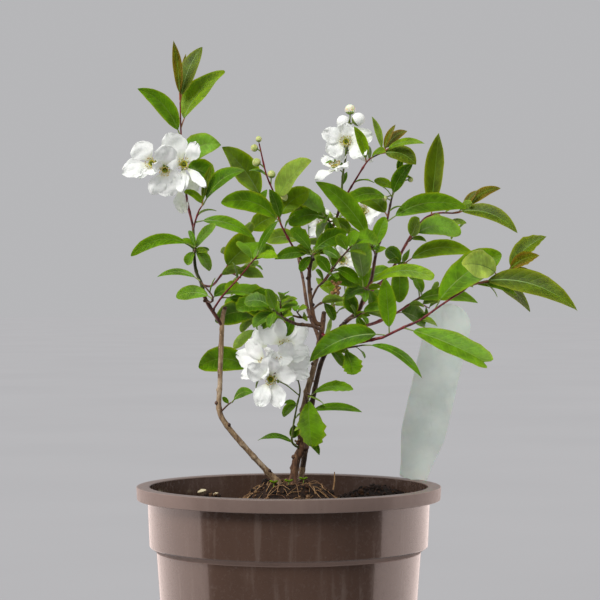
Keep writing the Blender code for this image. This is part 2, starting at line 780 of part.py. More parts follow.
def spiral_leaf(mass, path, number, share, length):
    """A small leaf by the spiral rule: each stands 144 degrees round the stem from the one before."""
    base, heading = place_on(path, share * length_of(path))
    chance = mass["chance"]
    start = chance.uniform(-SPIRAL_PLAY, SPIRAL_PLAY)
    true_length = length * chance.uniform(*SMALL_LENGTH_SPREAD)

    def axes_of(turn):
        spoke = ring_round(Vector(), heading, 1, 4)[0]
        spoke = Matrix.Rotation(math.radians(number * SPIRAL + start + turn), 3, heading) @ spoke
        spread = math.radians(SPREAD)
        along = heading * math.cos(spread) + spoke * math.sin(spread)
        facing = (heading - along * heading.dot(along)).normalized()
        return along, facing, true_length, true_length * SMALL_LEAF_WIDTH

    fit_leaf(mass, base, axes_of)


# Flowers

def petal(centre, facing, along):
    side = facing.cross(along)
    rings = []
    for share, half in ((PETAL_ROOT, PETAL_ROOT_HALF), *PETAL_STATIONS):
        middle = centre + along * PETAL_LENGTH * share
        rings.append(keeled_ring(middle, side * PETAL_WIDTH * half, facing * PETAL_THICKNESS / 2))
    return skin(rings, centre + along * PETAL_LENGTH)


def scaled(shape, centre, scale):
    points, faces = shape
    return [centre + (point - centre) * scale for point in points], faces


def add_pedicel(mass, base, end):
    """A thin stalk from the stem to a flower or bud, bowed a little upwards."""
    middle = (base + end) / 2 + Vector((0, 0, PEDICEL_BOW * (end - base).length))
    shape = tube([base, middle, end], [PEDICEL_RADIUS] * 3, TWIG_SIDES)
    mass["shapes"].append(shape)
    mass["trees"].append(tree_of(shape))


def add_flower(mass, share, across, depth, height, facing, size, heading):
    """A flower on its stalk: petals round a disc, the first at this heading clockwise from up."""
    base, _ = place_on(mass["path"], share * length_of(mass["path"]))
    centre = base + Vector((across, depth, height))
    facing = Vector(facing).normalized()
    add_pedicel(mass, base, centre - facing * DISC_DEPTH * PEDICEL_SINK)
    ends = [centre - facing * DISC_DEPTH, centre + facing * DISC_FRONT]
    disc = tube(ends, [DISC_RADIUS * DISC_FOOT, DISC_RADIUS], PETALS)
    mass["shapes"].append(disc)
    mass["trees"].append(tree_of(disc))
    spoke = ring_round(Vector(), facing, 1, 4)[0]
    for number in range(PETALS):
        turn = Matrix.Rotation(math.radians(90 - heading - number * 360 / PETALS), 3, facing)
        out = turn @ spoke
        cup = Matrix.Rotation(math.radians(-PETAL_CUP), 3, facing.cross(out))
        shape = scaled(petal(centre, cup @ facing, cup @ out), centre, size)
        tree = tree_of(shape)
        if any(tree.overlap(other) for other in mass["others"]):
            continue
        mass["shapes"].append(shape)
        mass["trees"].append(tree)


def add_bud(mass, share, across, height, thick):
    """A round bud on its stalk."""
    base, _ = place_on(mass["path"], share * length_of(mass["path"]))
    centre = base + Vector((across, -abs(across) * BUD_FORWARD, height))
    if (centre - base).length > thick / 2:
        add_pedicel(mass, base, centre)
    radius = thick / 2
    path = [centre + Vector((0, 0, radius * level)) for level in BUD_LEVELS]
    radii = [radius * math.sqrt(1 - level**2) for level in BUD_LEVELS]
    shape = tube(path, radii, BUD_SIDES)
    mass["shapes"].append(shape)
    mass["trees"].append(tree_of(shape))


# Masses

def add_twig(mass, number, count):
    """A side twig by the spiral rule, with three small leaves, if it clears its neighbours."""
    stem = mass["path"]
    chance = mass["chance"]
    base, heading = place_on(stem, length_of(stem) * (TWIG_FROM + TWIG_SPAN * number / count))
    spoke = ring_round(Vector(), heading, 1, 4)[0]
    spoke = Matrix.Rotation(math.radians(TWIG_TURN + number * SPIRAL), 3, heading) @ spoke
    length = chance.uniform(*TWIG_REACH) * mass["reach"]
    end = base + (heading + spoke) * TWIG_SPREAD * length
    path = smooth_path([base, (base + end) / 2 + heading * TWIG_BOW, end], TWIG_STEP)
    shape = tube(path, [TWIG_TIP_RADIUS] * len(path), TWIG_SIDES)
    swollen = tree_of(tube(path, [TWIG_TIP_RADIUS + LEAF_CLEARANCE] * len(path), TWIG_SIDES))
    if any(swollen.overlap(other) for other in mass["others"]):
        return
    mass["shapes"].append(shape)
    mass["trees"].append(tree_of(shape))
    for leaf, share in enumerate(TWIG_LEAVES):
        spiral_leaf(mass, path, leaf, share, mass["small_length"])


def start_mass(name, limbs):
    """A mass with its stem, which starts a gap off its limb."""
    plan = MASSES[name]
    parent, share = plan["on"]
    root_path = limbs[parent]["path"]
    root, _ = place_on(root_path, share * length_of(root_path))
    path = smooth_path([root, *(seen(*point) for point in plan["stem"])], TWIG_STEP)
    radii = [
        plan["thick"] / 2 + (TWIG_TIP_RADIUS - plan["thick"] / 2) * number / (len(path) - 1)
        for number in range(len(path))
    ]
    start = clear_start(path, limbs[parent]["tree"], radii[0], TWIG_SIDES)
    path, radii = cut_start(path, radii, start)
    stem = tube(path, radii, TWIG_SIDES)
    return {
        "path": path, "reach": plan["reach"], "chance": random.Random(name), "others": [],
        "shapes": [stem], "trees": [tree_of(stem)], "small_length": plan.get("small_length", SMALL_LENGTH),
    }


def fill_mass(mass, plan):
    """Adds the mass's flowers and buds, the leaves that show, then twigs and small leaves by rule."""
    path = mass["path"]
    for flower in plan.get("flowers", ()):
        add_flower(mass, *flower)
    for bud in plan.get("buds", ()):
        add_bud(mass, *bud)
    for leaf in plan["leaves"]:
        front_leaf(mass, *leaf)
    for number in range(plan["twigs"]):
        add_twig(mass, number, plan["twigs"])
    for number in range(plan["small"]):
        share = SPIRAL_FROM + SPIRAL_SPAN * (number + 0.5) / plan["small"]
        spiral_leaf(mass, path, number, share, mass["small_length"])


# Pot, soil and label

def wall_profile(inset):
    """Radius and height up the outside of the pot's wall, moved in by the inset."""
    return [
        (BASE_RADIUS - inset, BASE_EDGE),
        (BODY_TOP_RADIUS - inset, BODY_TOP),
        (COLLAR_FOOT_RADIUS - inset, COLLAR_FOOT),
        (COLLAR_TOP_RADIUS - inset, POT_HEIGHT - WALL),
    ]


def make_pot(material):
    """A turned wall with a step at its collar and a flange that turns down at the rim."""
    inner = wall_profile(WALL)
    inner[0] = (inner[0][0], FLOOR)
    outer = wall_profile(0)[::-1]
    profile = [(0, FLOOR), *inner]
    profile += [
        (COLLAR_TOP_RADIUS - WALL, POT_HEIGHT),
        (RIM_RADIUS - RIM_EDGE, POT_HEIGHT),
        (RIM_RADIUS, POT_HEIGHT - RIM_EDGE),
        (RIM_RADIUS - RIM_DRAFT, POT_HEIGHT - RIM_HEIGHT),
        (RIM_RADIUS - RIM_DRAFT - WALL, POT_HEIGHT - RIM_HEIGHT),
        (RIM_RADIUS - WALL, POT_HEIGHT - WALL),
    ]
    profile += [*outer, (BASE_RADIUS - BASE_EDGE, 0), (0, 0)]
    mesh = bpy.data.meshes.new("pot")
    points = [Vector((radius, 0, height)) * MM for radius, height in profile]
    mesh.from_pydata(points, [(number, number + 1) for number in range(len(points) - 1)], [])
    pot = add_object("pot", mesh, material)
    turning = pot.modifiers.new("turning", "SCREW")
    turning.steps = POT_STEPS
    turning.render_steps = POT_STEPS
    turning.use_merge_vertices = True
    turning.merge_threshold = MERGE_REACH * MM
    turning.use_smooth_shade = False
    for number in range(DRAIN_HOLES):
        turn = math.tau * (number + 0.5) / DRAIN_HOLES
        place = Vector((math.cos(turn), math.sin(turn), 0)) * DRAIN_CIRCLE
        cut_pot(pot, f"drain_cutter_{number}", drain_shape(place))
    cut_pot(pot, "slot_cutter", slot_shape())
    return pot


def drain_shape(place):
    up = Vector((0, 0, 1))
    ends = (place - up, place + up * (FLOOR + 1))
    return skin([ring_round(end, up, DRAIN_RADIUS, DRAIN_SIDES) for end in ends])


def box_shape(middle, size):
    """A box from its middle and its whole size."""
    corners = ((1, 1), (-1, 1), (-1, -1), (1, -1))
    return skin([
        [middle + Vector((x * size.x, y * size.y, z * size.z)) / 2 for x, y in corners] for z in (-1, 1)
    ])


def slot_shape():
    """The slot in the flange that the label's tongue goes down through."""
    middle = Vector((*LABEL_PLACE, POT_HEIGHT))
    across = TONGUE_WIDTH + 2 * SLOT_SPARE
    through = LABEL_THICKNESS + 2 * SLOT_SPARE
    return box_shape(middle, Vector((across, through, SLOT_DEPTH)))


def cut_pot(pot, name, shape):
    cutter = add_object(name, mesh_of(name, shape), pot.data.materials[0])
    cutter.hide_render = True
    cutter.display_type = "WIRE"
    cut = pot.modifiers.new(name, "BOOLEAN")
    cut.operation = "DIFFERENCE"
    cut.object = cutter
    cut.solver = "EXACT"


def soil_height(place, chance):
    """Soil level at a place: the root ball's flat-topped mound, a heap at the back right, and ripples."""
    from_ball = max((place - ROOT_BALL_PLACE).length - FLAT_TOP, 0)
    ball = (ROOT_BALL_TOP - SOIL_LEVEL) * math.exp(-((from_ball / (ROOT_BALL_REACH - FLAT_TOP)) ** 2))
    heap = HEAP_RISE * math.exp(-((place - HEAP_PLACE).length / HEAP_REACH) ** 2)
    level = SOIL_LEVEL + max(ball, heap)
    return level if from_ball == 0 else level - chance.uniform(0, RIPPLE)


def make_soil(material):
    """The fill: it follows the inside of the wall, and its top is a grid of rings."""
    chance = random.Random("soil")
    inset = WALL + GAP
    spokes = [math.tau * number / SOIL_SPOKES for number in range(SOIL_SPOKES)]
    ways = [Vector((math.cos(turn), math.sin(turn))) for turn in spokes]
    sides = wall_profile(inset)
    sides[0] = (sides[0][0], FLOOR + GAP)
    flats = math.cos(math.pi / POT_STEPS)
    rings = [[Vector((*(way * radius * flats), height)) for way in ways] for radius, height in sides[:3]]
    edge = (COLLAR_FOOT_RADIUS - inset) * flats
    for radius in (edge, *SOIL_RING_RADII):
        places = [way * radius for way in ways]
        rings.append([Vector((*place, soil_height(place, chance))) for place in places])
    return add_object("soil", mesh_of("soil", skin(rings)), material)


def label_shape():
    """A flat label with a round top, narrowed at the foot, and a tongue that stands in the rim's slot."""
    narrow = LABEL_SHOULDER_WIDTH / 2
    wide = LABEL_WIDTH / 2
    tongue = TONGUE_WIDTH / 2
    outline = [(-tongue, -TONGUE_LENGTH), (tongue, -TONGUE_LENGTH), (tongue, 0), (narrow, 0)]
    outline.append((wide, LABEL_NARROWS_AT))
    round_top = LABEL_LENGTH - wide
    for number in range(LABEL_ARC_STEPS + 1):
        turn = math.pi * number / LABEL_ARC_STEPS
        outline.append((wide * math.cos(turn), round_top + wide * math.sin(turn)))
    outline += [(-wide, LABEL_NARROWS_AT), (-narrow, 0), (-tongue, 0)]
    half = LABEL_THICKNESS / 2
    lean = Matrix.Rotation(math.radians(LABEL_LEAN), 3, "Y")
    foot = Vector((*LABEL_PLACE, POT_HEIGHT + GAP))

    def layer(depth):
        ring = []
        for across, height in outline:
            flat = Vector((across, 0, height))
            upright = flat if height <= 0 else lean @ flat
            ring.append(foot + upright + Vector((0, depth, 0)))
        return ring

    return skin([layer(half), layer(-half)])


def main():
    for old in list(bpy.data.objects):
        bpy.data.objects.remove(old)
    materials = {name: make_material(name) for name in COLOURS}
    make_pot(materials["pot"])
    make_soil(materials["soil"])
    label = label_shape()
    add_object("plant_label", mesh_of("plant_label", label), materials["label"])
    limbs = {}
    for name in LIMBS:
        limbs[name] = grow_limb(name, limbs)
        add_object(name, mesh_of(name, limbs[name]["shape"]), materials["bark"])
    masses = {name: start_mass(name, limbs) for name in MASSES}
    for name, mass in masses.items():
        mass["others"] = [tree_of(label), *(limb["tree"] for limb in limbs.values())]
        mass["others"] += [tree for other in masses.values() if other is not mass for tree in other["trees"]]
        fill_mass(mass, MASSES[name])
        fuse(name, mass["shapes"], materials["leaf"])


main()
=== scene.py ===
import math
import random

import bpy
from mathutils import Matrix, Vector, noise
from mathutils.bvhtree import BVHTree


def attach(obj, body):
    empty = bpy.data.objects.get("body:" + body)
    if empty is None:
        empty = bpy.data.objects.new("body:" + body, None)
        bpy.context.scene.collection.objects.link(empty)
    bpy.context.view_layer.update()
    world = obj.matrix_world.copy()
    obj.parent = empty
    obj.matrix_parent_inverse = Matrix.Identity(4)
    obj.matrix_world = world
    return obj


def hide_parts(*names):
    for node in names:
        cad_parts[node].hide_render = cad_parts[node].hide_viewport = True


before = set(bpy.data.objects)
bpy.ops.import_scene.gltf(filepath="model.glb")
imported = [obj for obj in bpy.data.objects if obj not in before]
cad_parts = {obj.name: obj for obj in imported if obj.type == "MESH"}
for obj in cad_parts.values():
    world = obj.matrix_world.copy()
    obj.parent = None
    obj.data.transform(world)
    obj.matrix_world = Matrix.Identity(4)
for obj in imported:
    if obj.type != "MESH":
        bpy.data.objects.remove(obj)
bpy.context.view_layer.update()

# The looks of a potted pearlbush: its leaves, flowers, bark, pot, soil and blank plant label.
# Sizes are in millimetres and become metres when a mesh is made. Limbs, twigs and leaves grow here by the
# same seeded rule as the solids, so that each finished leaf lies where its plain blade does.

MM = 0.001
GAP = 0.3

# Pot
RIM_RADIUS = 95.0
RIM_HEIGHT = 8.0
POT_HEIGHT = 148.0
COLLAR_TOP_RADIUS = 88.4
COLLAR_FOOT_RADIUS = 86.9
COLLAR_FOOT = 111.0
BODY_TOP_RADIUS = 82.6
BODY_TOP = 108.0
BASE_RADIUS = 75.0
BASE_EDGE = 2.0
WALL = 1.6
FLOOR = 3.0
POT_TURNS = 240
DRAIN_HOLES = 4
DRAIN_RADIUS = 5.0
DRAIN_CIRCLE = 48.0

# Soil
SOIL_LEVEL = 132.0
ROOT_BALL_TOP = 149.7
ROOT_BALL_PLACE = Vector((1.0, 2.0))
ROOT_BALL_REACH = 30.0
FLAT_TOP = 15.0
HEAP_RISE = 12.0
HEAP_PLACE = Vector((58.0, 44.0))
HEAP_REACH = 26.0
STEM_FOOT = ROOT_BALL_TOP + GAP

# Plant label
LABEL_PLACE = Vector((79.8, 43.5))
LABEL_LEAN = 13.0
LABEL_WIDTH = 29.0
LABEL_LENGTH = 116.0
LABEL_SHOULDER_WIDTH = 18.0
LABEL_NARROWS_AT = 34.0
LABEL_THICKNESS = 0.8
TONGUE_WIDTH = 3.0
TONGUE_LENGTH = 7.0
SLOT_SPARE = 0.5
LABEL_ARC_STEPS = 8

# Limbs and twigs
LIMB_SIDES = 6
LIMB_STEP = 9.0
TWIG_SIDES = 3
TWIG_STEP = 10.0
TWIG_TIP_RADIUS = 0.5
TWIG_FROM = 0.3
TWIG_SPAN = 0.6
TWIG_TURN = 70.0
TWIG_REACH = (0.35, 0.6)
TWIG_SPREAD = 0.7
TWIG_BOW = 1.5
TWIG_LEAVES = (0.55, 0.8, 0.97)
START_SEARCH = 12.0
START_STEP = 0.1
LEAST_ACROSS = 0.3

# Leaves, as shares of a leaf's own length and width
LEAF_STATIONS = ((0.30, 0.44), (0.65, 0.46))
SMALL_LEAF_STATIONS = ((0.45, 0.50),)
SMALL_LEAF = 16.0
SMALL_LEAF_WIDTH = 0.42
SMALL_LENGTH = 12.0
SMALL_LENGTH_SPREAD = (0.75, 1.15)
STALK_SHARE = 0.12
STALK_RADIUS = 0.5
LEAF_THICKNESS = 0.013
LEAST_THICKNESS = 0.5
EDGE_RISE = 0.4
KEEL_DEPTH = 1.6
LEAF_ARCH = 0.14
SLOPE_STEP = 0.01
FACE_FRONT = 0.65
LEAST_FACING = 0.55
STEEPEST = 50.0
LEAST_LEAN = 4.0
MOST_LEAN = 30.0
LEAF_CLEARANCE = 0.35
REACH_SPARE = 1.3
ROOT_SHARE = 0.2
TURNS = (0, 14, -14, 28, -28, 42, -42)
SPIRAL = 144.0
SPIRAL_FROM = 0.15
SPIRAL_SPAN = 0.8
SPIRAL_PLAY = 20.0
SPREAD = 58.0

# Flowers and buds
PETALS = 5
PETAL_LENGTH = 15.0
PETAL_WIDTH = 12.0
PETAL_STATIONS = ((0.7, 0.5),)
PETAL_ROOT = 0.05
PETAL_ROOT_HALF = 0.03
PETAL_CUP = 18.0
PETAL_THICKNESS = 0.6
DISC_RADIUS = 2.3
DISC_DEPTH = 3.0
DISC_FRONT = 0.8
DISC_FOOT = 0.4
PEDICEL_RADIUS = 0.5
PEDICEL_BOW = 0.08
PEDICEL_SINK = 0.4
BUD_LEVELS = (-0.9, -0.2, 0.8)
BUD_SIDES = 5
BUD_FORWARD = 0.3

# The eye that the front view is drawn for: places are read on the plane through the pot's axis
EYE_ACROSS = 7.0
EYE_HEIGHT = 264.0
EYE_DISTANCE = 1300.0

# Each limb: what it grows on, how far along that, and its points as across, depth, height, thickness
LIMBS = {
    "trunk": (None, 0, (
        (2.7, 0, STEM_FOOT, 7.4), (3.2, 0, 154, 5.0), (5.0, 0, 165, 5.6), (8.2, -1, 172, 5.4),
        (7.8, -1, 183, 4.2), (10.8, 0, 204, 3.6), (16.0, 0, 223, 3.3), (20.2, 0, 243, 3.4),
        (22.0, 0, 256, 2.8),
    )),
    "second_stem": (None, 0, (
        (6.0, 8, STEM_FOOT, 4.6), (8.5, 9, 158, 3.4), (13.0, 8, 190, 3.2), (17.5, 7, 214, 3.0),
        (22.5, 7, 230, 2.9), (35.2, 6, 250, 2.8),
    )),
    "left_stem": (None, 0, (
        (-7.0, -2, STEM_FOOT, 5.2), (-12.5, -3, 156, 3.6), (-26, -7, 170.5, 3.4), (-39, -10, 186, 3.4),
        (-43.5, -10, 196, 3.3), (-43, -10, 213, 3.0), (-41.6, -8, 250, 2.9), (-40, -7, 259, 2.5),
    )),
    "left_bough": ("left_stem", 0.91, (
        (-45, -9, 253, 2.5), (-52, -9, 264.6, 2.3), (-54.8, -9, 274.6, 2.1), (-58.3, -8, 283.4, 2.0),
        (-59.4, -7, 300, 1.8), (-59.8, -6, 309.6, 1.7),
    )),
    "middle_bough": ("trunk", 0.93, (
        (16.2, -3, 251, 2.7), (13.4, -4, 266, 2.5), (12.7, -4, 280, 2.3), (15.2, -4, 294, 2.1),
    )),
    "upper_bough": ("middle_bough", 1, (
        (18.5, -4, 297, 1.9), (25.8, -4, 306, 1.8), (30.8, -4, 318, 1.7), (32.9, -4, 330, 1.6),
    )),
    "right_bough": ("second_stem", 1, (
        (43.3, 5, 257, 2.7), (46.6, 4, 265, 2.4), (51.4, 3, 276, 2.2), (54.6, 1, 293, 2.0),
        (59.2, 0, 309, 1.8),
    )),
    "right_low_bough": ("trunk", 0.88, (
        (27, -8, 239, 2.3), (41, -15, 237.5, 2.1), (58.5, -20, 240.5, 1.9),
    )),
    "right_back_bough": ("right_bough", 0.18, (
        (52, 14, 270, 2.2), (60, 24, 277, 2.0), (66.5, 32, 286.5, 1.8), (75, 40, 302, 1.7),
        (81.5, 46, 311.5, 1.6),
    )),
    "low_back_bough": ("second_stem", 0.9, (
        (38, 16, 247, 2.2), (52, 26, 249, 2.0), (66, 34, 255, 1.8),
    )),
    "back_bough": ("second_stem", 0.76, (
        (18, 20, 242, 2.4), (12, 38, 258, 2.1), (9, 54, 276, 1.8), (6, 62, 290, 1.7),
    )),
    "front_bough": ("trunk", 0.9, (
        (14, -13, 248, 2.2), (5, -24, 249, 1.9), (-2, -33, 252, 1.7),
    )),
    "left_back_bough": ("back_bough", 0.3, (
        (2, 36, 249, 2.0), (-12, 50, 252, 1.7),
    )),
}

# Each mass: its limb and how far along that, its stem's thickness and points, its reach, and how many small
# leaves and twigs the spiral adds. Leaves are given as seen from the front: share of the stem, heading
# clockwise from up, length, width, colour, form, and for some their own lean and arch. Flowers: share of the
# stem, place off it across, in depth and in height, facing, size, heading of the first petal. Buds: share of
# the stem, place off it across and in height, size.
MASSES = {
    "left_crown_leaves": dict(
        on=("left_bough", 1), thick=1.6, reach=50, small=1,
        stem=((-63.3, -5, 325.3), (-66, -4, 345), (-67.3, -3, 366.5), (-68, -2, 389)),
        flowers=(
            (0.3, -20, -12, 15, (-0.35, -0.9, 0.1), 1.0, -30),
            (0.33, 0, -13, 12, (0.1, -1.0, 0.1), 1.12, -25),
            (0.25, -12.4, -15, 15, (0.0, -0.8, -0.5), 1.0, 62),
        ),
        leaves=(
            (1, -5.3, 36.4, 6, "bronze", "narrow"), (1, 5, 32, 3, "bronze", "narrow"),
            (0.98, 20, 39.5, 11.5, "olive", "pointed"), (0.78, 34.5, 47.5, 13, "fresh", "pointed"),
            (0.7, -39.5, 41, 11, "green", "pointed"), (0.5, 64, 27, 15, "blue", "pointed"),
            (0.45, 105, 19, 14, "green", "round"),
        ),
    ),
    "left_shoot_leaves": dict(
        on=("left_bough", 0.97), thick=1.3, reach=42, small=1,
        stem=((-58.5, -12, 313), (-56, -13, 320.3), (-53.6, -14, 323.4)),
        leaves=(
            (1, -53, 15.5, 5, "fresh", "pointed"), (1, 50.6, 33.5, 9, "deep", "pointed"),
            (0.95, 14, 27, 4, "olive", "narrow"), (0.3, 104, 38, 8, "green", "pointed"),
        ),
    ),
    "left_side_leaves": dict(
        on=("left_bough", 0.75), thick=1.4, reach=40, small=2,
        stem=((-58.7, -13, 294), (-58.6, -16, 297)),
        leaves=(
            (1, -97, 39, 7.5, "green", "round", None, 0.17), (0.6, -51, 12, 4, "deep", "round"),
            (1, -20, 11.8, 3.5, "deep", "round"), (0.15, 38.5, 22, 6, "blue", "round"),
            (0.5, 140, 14, 8, "green", "round"), (0.3, 82, 9, 3, "deep", "round"),
            (0.4, -150, 9, 6, "green", "round"),
        ),
    ),
    "left_rosette_leaves": dict(
        on=("left_bough", 0.25), thick=1.4, reach=42, small=1,
        stem=((-49, -14, 262.5), (-47.5, -17, 266), (-55.5, -16, 276)),
        leaves=(
            (1, -83, 27.5, 4, "green", "narrow"), (0.35, -86, 23, 8, "green", "round"),
            (0.3, 68, 17, 6, "deep", "round"),
        ),
    ),
    "left_front_leaves": dict(
        on=("left_bough", 0.12), thick=1.4, reach=36, small=3,
        stem=((-41, -16, 267), (-31, -24, 278), (-23.6, -30, 287), (-19.8, -34, 291.5)),
        leaves=(
            (0.3, 107, 25, 10, "green", "toothed"), (0.2, 116, 38, 12, "deep", "round"),
            (0.9, 64, 15, 9, "green", "round"), (0.88, -25, 14, 12, "green", "round"),
            (1, 31, 25, 5, "deep", "pointed"), (0.95, 90, 14, 6, "lime", "pointed"),
        ),
    ),
    "left_back_leaves": dict(
        on=("left_bough", 0.4), thick=1.5, reach=52, small=4, twigs=1, small_length=17,
        stem=((-48, -1, 273), (-41.7, 12, 280.3), (-35.5, 22, 288), (-24.2, 38, 306.5), (-16.7, 48, 324.6)),
        leaves=(
            (0.32, 45, 27, 19, "fresh", "round"), (1, -35.5, 43, 15, "fresh", "pointed"),
            (0.9, 20, 18, 6, "green", "pointed"), (0.72, 55, 23, 13, "fresh", "pointed"),
        ),
    ),
    "low_left_back_leaves": dict(
        on=("second_stem", 0.6), thick=1.4, reach=42, small=4, small_length=14,
        stem=((12, 17, 215), (0, 26, 217.5), (-22, 36, 219)),
        leaves=((1, -82, 35, 15, "green", "round"), (0.8, -30, 12, 5, "deep", "round")),
    ),
    "bud_spray": dict(
        on=("middle_bough", 0.75), thick=1.5, reach=40, small=2,
        stem=(
            (6, -12, 292), (-0.7, -16, 303), (-6.3, -18, 315), (-9.2, -20, 330), (-14.2, -22, 343),
            (-18.8, -24, 363),
        ),
        leaves=(
            (0.55, 40, 34, 12.5, "pale", "pointed"), (0.41, -19, 21, 6, "deep", "narrow"),
            (0.4, -70, 39, 12, "green", "round"), (0.44, 48, 25, 14, "fresh", "round"),
            (0.47, 72, 16, 7, "fresh", "round"),
        ),
        buds=(
            (1, 0, 1.5, 3.8), (0.93, -4, 2, 4.6), (0.81, -5, 3.5, 5.2), (0.68, 0.5, 7, 5), (0.5, 4, 8, 5.4),
        ),
    ),
    "middle_rosette_leaves": dict(
        on=("middle_bough", 0.97), thick=1.4, reach=36, small=1,
        stem=((14.6, -9, 290.5), (14.2, -15, 292.5)),
        leaves=(
            (1, 60, 25, 11, "deep", "toothed", -12), (1, -40, 20.6, 8, "deep", "toothed", -8),
            (0.9, -97, 23, 8, "deep", "pointed", -6), (0.7, -145, 12, 6, "deep", "round"),
            (0.8, 84, 17, 5, "olive", "narrow"), (0.8, -64, 11, 7, "fresh", "round"),
        ),
    ),
    "left_stem_leaves": dict(
        on=("left_stem", 0.47), thick=1.2, reach=24, small=0,
        stem=((-37.5, -14, 199), (-35.5, -17, 200)),
        leaves=((1, 62, 15, 4.5, "deep", "pointed"), (0.6, -40, 6, 3, "green", "round")),
    ),
    "middle_top_leaves": dict(
        on=("upper_bough", 0.6), thick=1.4, reach=38, small=4,
        stem=((26, -9, 313), (22, -12, 316)),
        leaves=(
            (0.9, -51, 27, 11, "blue", "round"), (1, -103, 22, 12, "green", "round"),
            (0.6, 170, 14, 8, "deep", "toothed"), (0.5, 120, 15, 7, "fresh", "round"),
            (0.4, -150, 16, 8, "deep", "toothed"),
        ),
    ),
    "upper_flowers": dict(
        on=("upper_bough", 1), thick=1.5, reach=34, small=1,
        stem=((33.9, -5, 343), (35.4, -5, 352), (37.5, -3, 366), (38.3, -3, 377)),
        leaves=((0.1, 20, 10, 3, "green", "narrow"), (0.35, -75, 12, 4, "green", "pointed")),
        flowers=(
            (0.45, 0.3, -5, 11, (0.0, -1.0, 0.1), 0.97, -68),
            (0.28, -5, -5, 3.5, (-0.25, -0.5, 0.8), 0.9, 240),
        ),
        buds=((1, 0, 6, 6.6), (0.92, 5.4, 3.5, 6.6), (0.92, -4, 2, 6.6)),
    ),
    "arch_leaves": dict(
        on=("upper_bough", 0.8), thick=1.4, reach=32, small=2,
        stem=((38, -9, 333), (42, -11, 339.6), (48.3, -13, 349.6), (52, -14, 353), (59.3, -15, 356.5)),
        leaves=(
            (0.7, -19.5, 23.5, 6.5, "fresh", "pointed", -14), (0.98, -17, 23.5, 4.4, "pale", "narrow"),
            (1, 23, 19, 4, "bronze", "pointed"), (1, 47, 21, 5, "bronze", "pointed"),
            (1, 81, 25, 4.4, "fresh", "pointed"), (0.95, 109, 23, 11, "olive", "pointed"),
            (0.8, 70, 9, 4, "fresh", "pointed"),
        ),
    ),
    "right_top_leaves": dict(
        on=("right_bough", 1), thick=1.6, reach=58, small=3,
        stem=((61.2, 0, 313), (64.2, 0, 327), (66.7, 0, 335.3), (68.9, 0, 342.8)),
        leaves=(
            (0.1, 81, 52, 12.5, "green", "pointed"), (0.55, 31, 24, 8, "deep", "pointed"),
            (0.5, -92, 29, 7.5, "green", "round"), (0.7, -65, 14, 6, "fresh", "round"),
            (1, 10, 12, 4, "deep", "pointed"), (0.2, -50, 24, 12, "fresh", "round"),
        ),
        buds=((0.8, 9, 3, 3.5), (0.6, -5, -2, 3.5)),
    ),
    "right_middle_leaves": dict(
        on=("right_bough", 0.72), thick=1.4, reach=62, small=4,
        stem=((53.5, -5, 294), (51.5, -9, 298)),
        leaves=(
            (1, -40, 54, 12.5, "green", "pointed", -16), (0.6, 20, 22, 9, "green", "round"),
            (0.7, -120, 14, 6, "deep", "round"),
        ),
    ),
    "right_inner_leaves": dict(
        on=("right_bough", 0.4), thick=1.4, reach=50, small=4,
        stem=((49.5, -6, 270), (48, -13, 271), (46.5, -18, 272)),
        leaves=(
            (1, -12, 38, 15, "green", "pointed"), (0.8, 80, 42, 7.5, "lime", "cut", None, 0.16),
            (0.6, 160, 12, 6, "green", "round"), (0.7, -115, 14, 6, "deep", "round"),
        ),
    ),
    "right_back_top_leaves": dict(
        on=("right_back_bough", 1), thick=1.5, reach=58, small=3, twigs=1,
        stem=((86.4, 48, 316), (94.5, 50, 318.4), (104.5, 52, 318.4), (112, 54, 321)),
        leaves=(
            (0.28, 4, 54, 12, "olive", "pointed"), (1, 57, 26, 7, "bronze", "pointed"),
            (0.7, 107, 42, 10, "olive", "pointed"), (0.9, 35, 16, 5, "bronze", "pointed"),
        ),
    ),
    "right_back_middle_leaves": dict(
        on=("right_back_bough", 0.8), thick=1.3, reach=40, small=1,
        stem=((75.5, 37, 301), (77.5, 33, 303)),
        leaves=((1, 84, 31, 12.5, "blue", "round", None, 0.2), (0.6, 20, 14, 8, "fresh", "round")),
    ),
    "right_back_side_leaves": dict(
        on=("right_back_bough", 0.62), thick=1.4, reach=56, small=4,
        stem=((69, 28, 286), (72, 24, 286.5)),
        leaves=(
            (1, 80, 45, 11, "fresh", "pointed"), (0.3, 180, 24, 12, "green", "round"),
            (0.6, -40, 14, 9, "deep", "round"),
        ),
    ),
    "right_low_leaves": dict(
        on=("right_low_bough", 1), thick=1.7, reach=60, small=3,
        stem=(
            (72, -24, 247), (82, -27, 251.5), (94.5, -30, 260.3), (107.7, -33, 269), (115.2, -34, 274),
            (127, -36, 276), (137, -37, 281),
        ),
        leaves=(
            (0.03, -109, 50, 15, "deep", "pointed"), (0.05, -5, 36, 11, "green", "pointed"),
            (0.16, 111, 55, 12.5, "green", "notched", None, 0.02), (0.42, 49, 53, 17.5, "green", "round"),
            # The first leaf here has the bright green, which is painted light: it faces away from the key
            # light, so its colour is lightened to make up for that
            (0.93, -75, 25, 12, "bright", "round", -15), (1, 44.5, 33, 9.5, "olive", "jagged"),
            (1, 57, 21, 6.5, "bronze", "jagged"), (0.75, 104.5, 62, 14, "olive", "pointed"),
            (0.72, 101, 30, 5, "lime", "pointed"), (0.85, 124, 34, 7.5, "olive", "pointed"),
            (0.97, 84, 18, 3, "bronze", "narrow"),
        ),
    ),
    "low_back_leaves": dict(
        on=("low_back_bough", 1), thick=1.5, reach=50, small=4, twigs=1,
        stem=((82, 42, 265.6), (92, 46, 271), (101.4, 50, 275.6)),
        leaves=(
            (0.3, 91, 44, 9.4, "green", "pointed"), (0.03, 118, 27, 10, "deep", "pointed"),
            (1, 60, 20, 6, "olive", "pointed"), (0.9, 95, 18, 6, "fresh", "pointed"),
            (0.5, -20, 18, 7, "green", "pointed"),
        ),
    ),
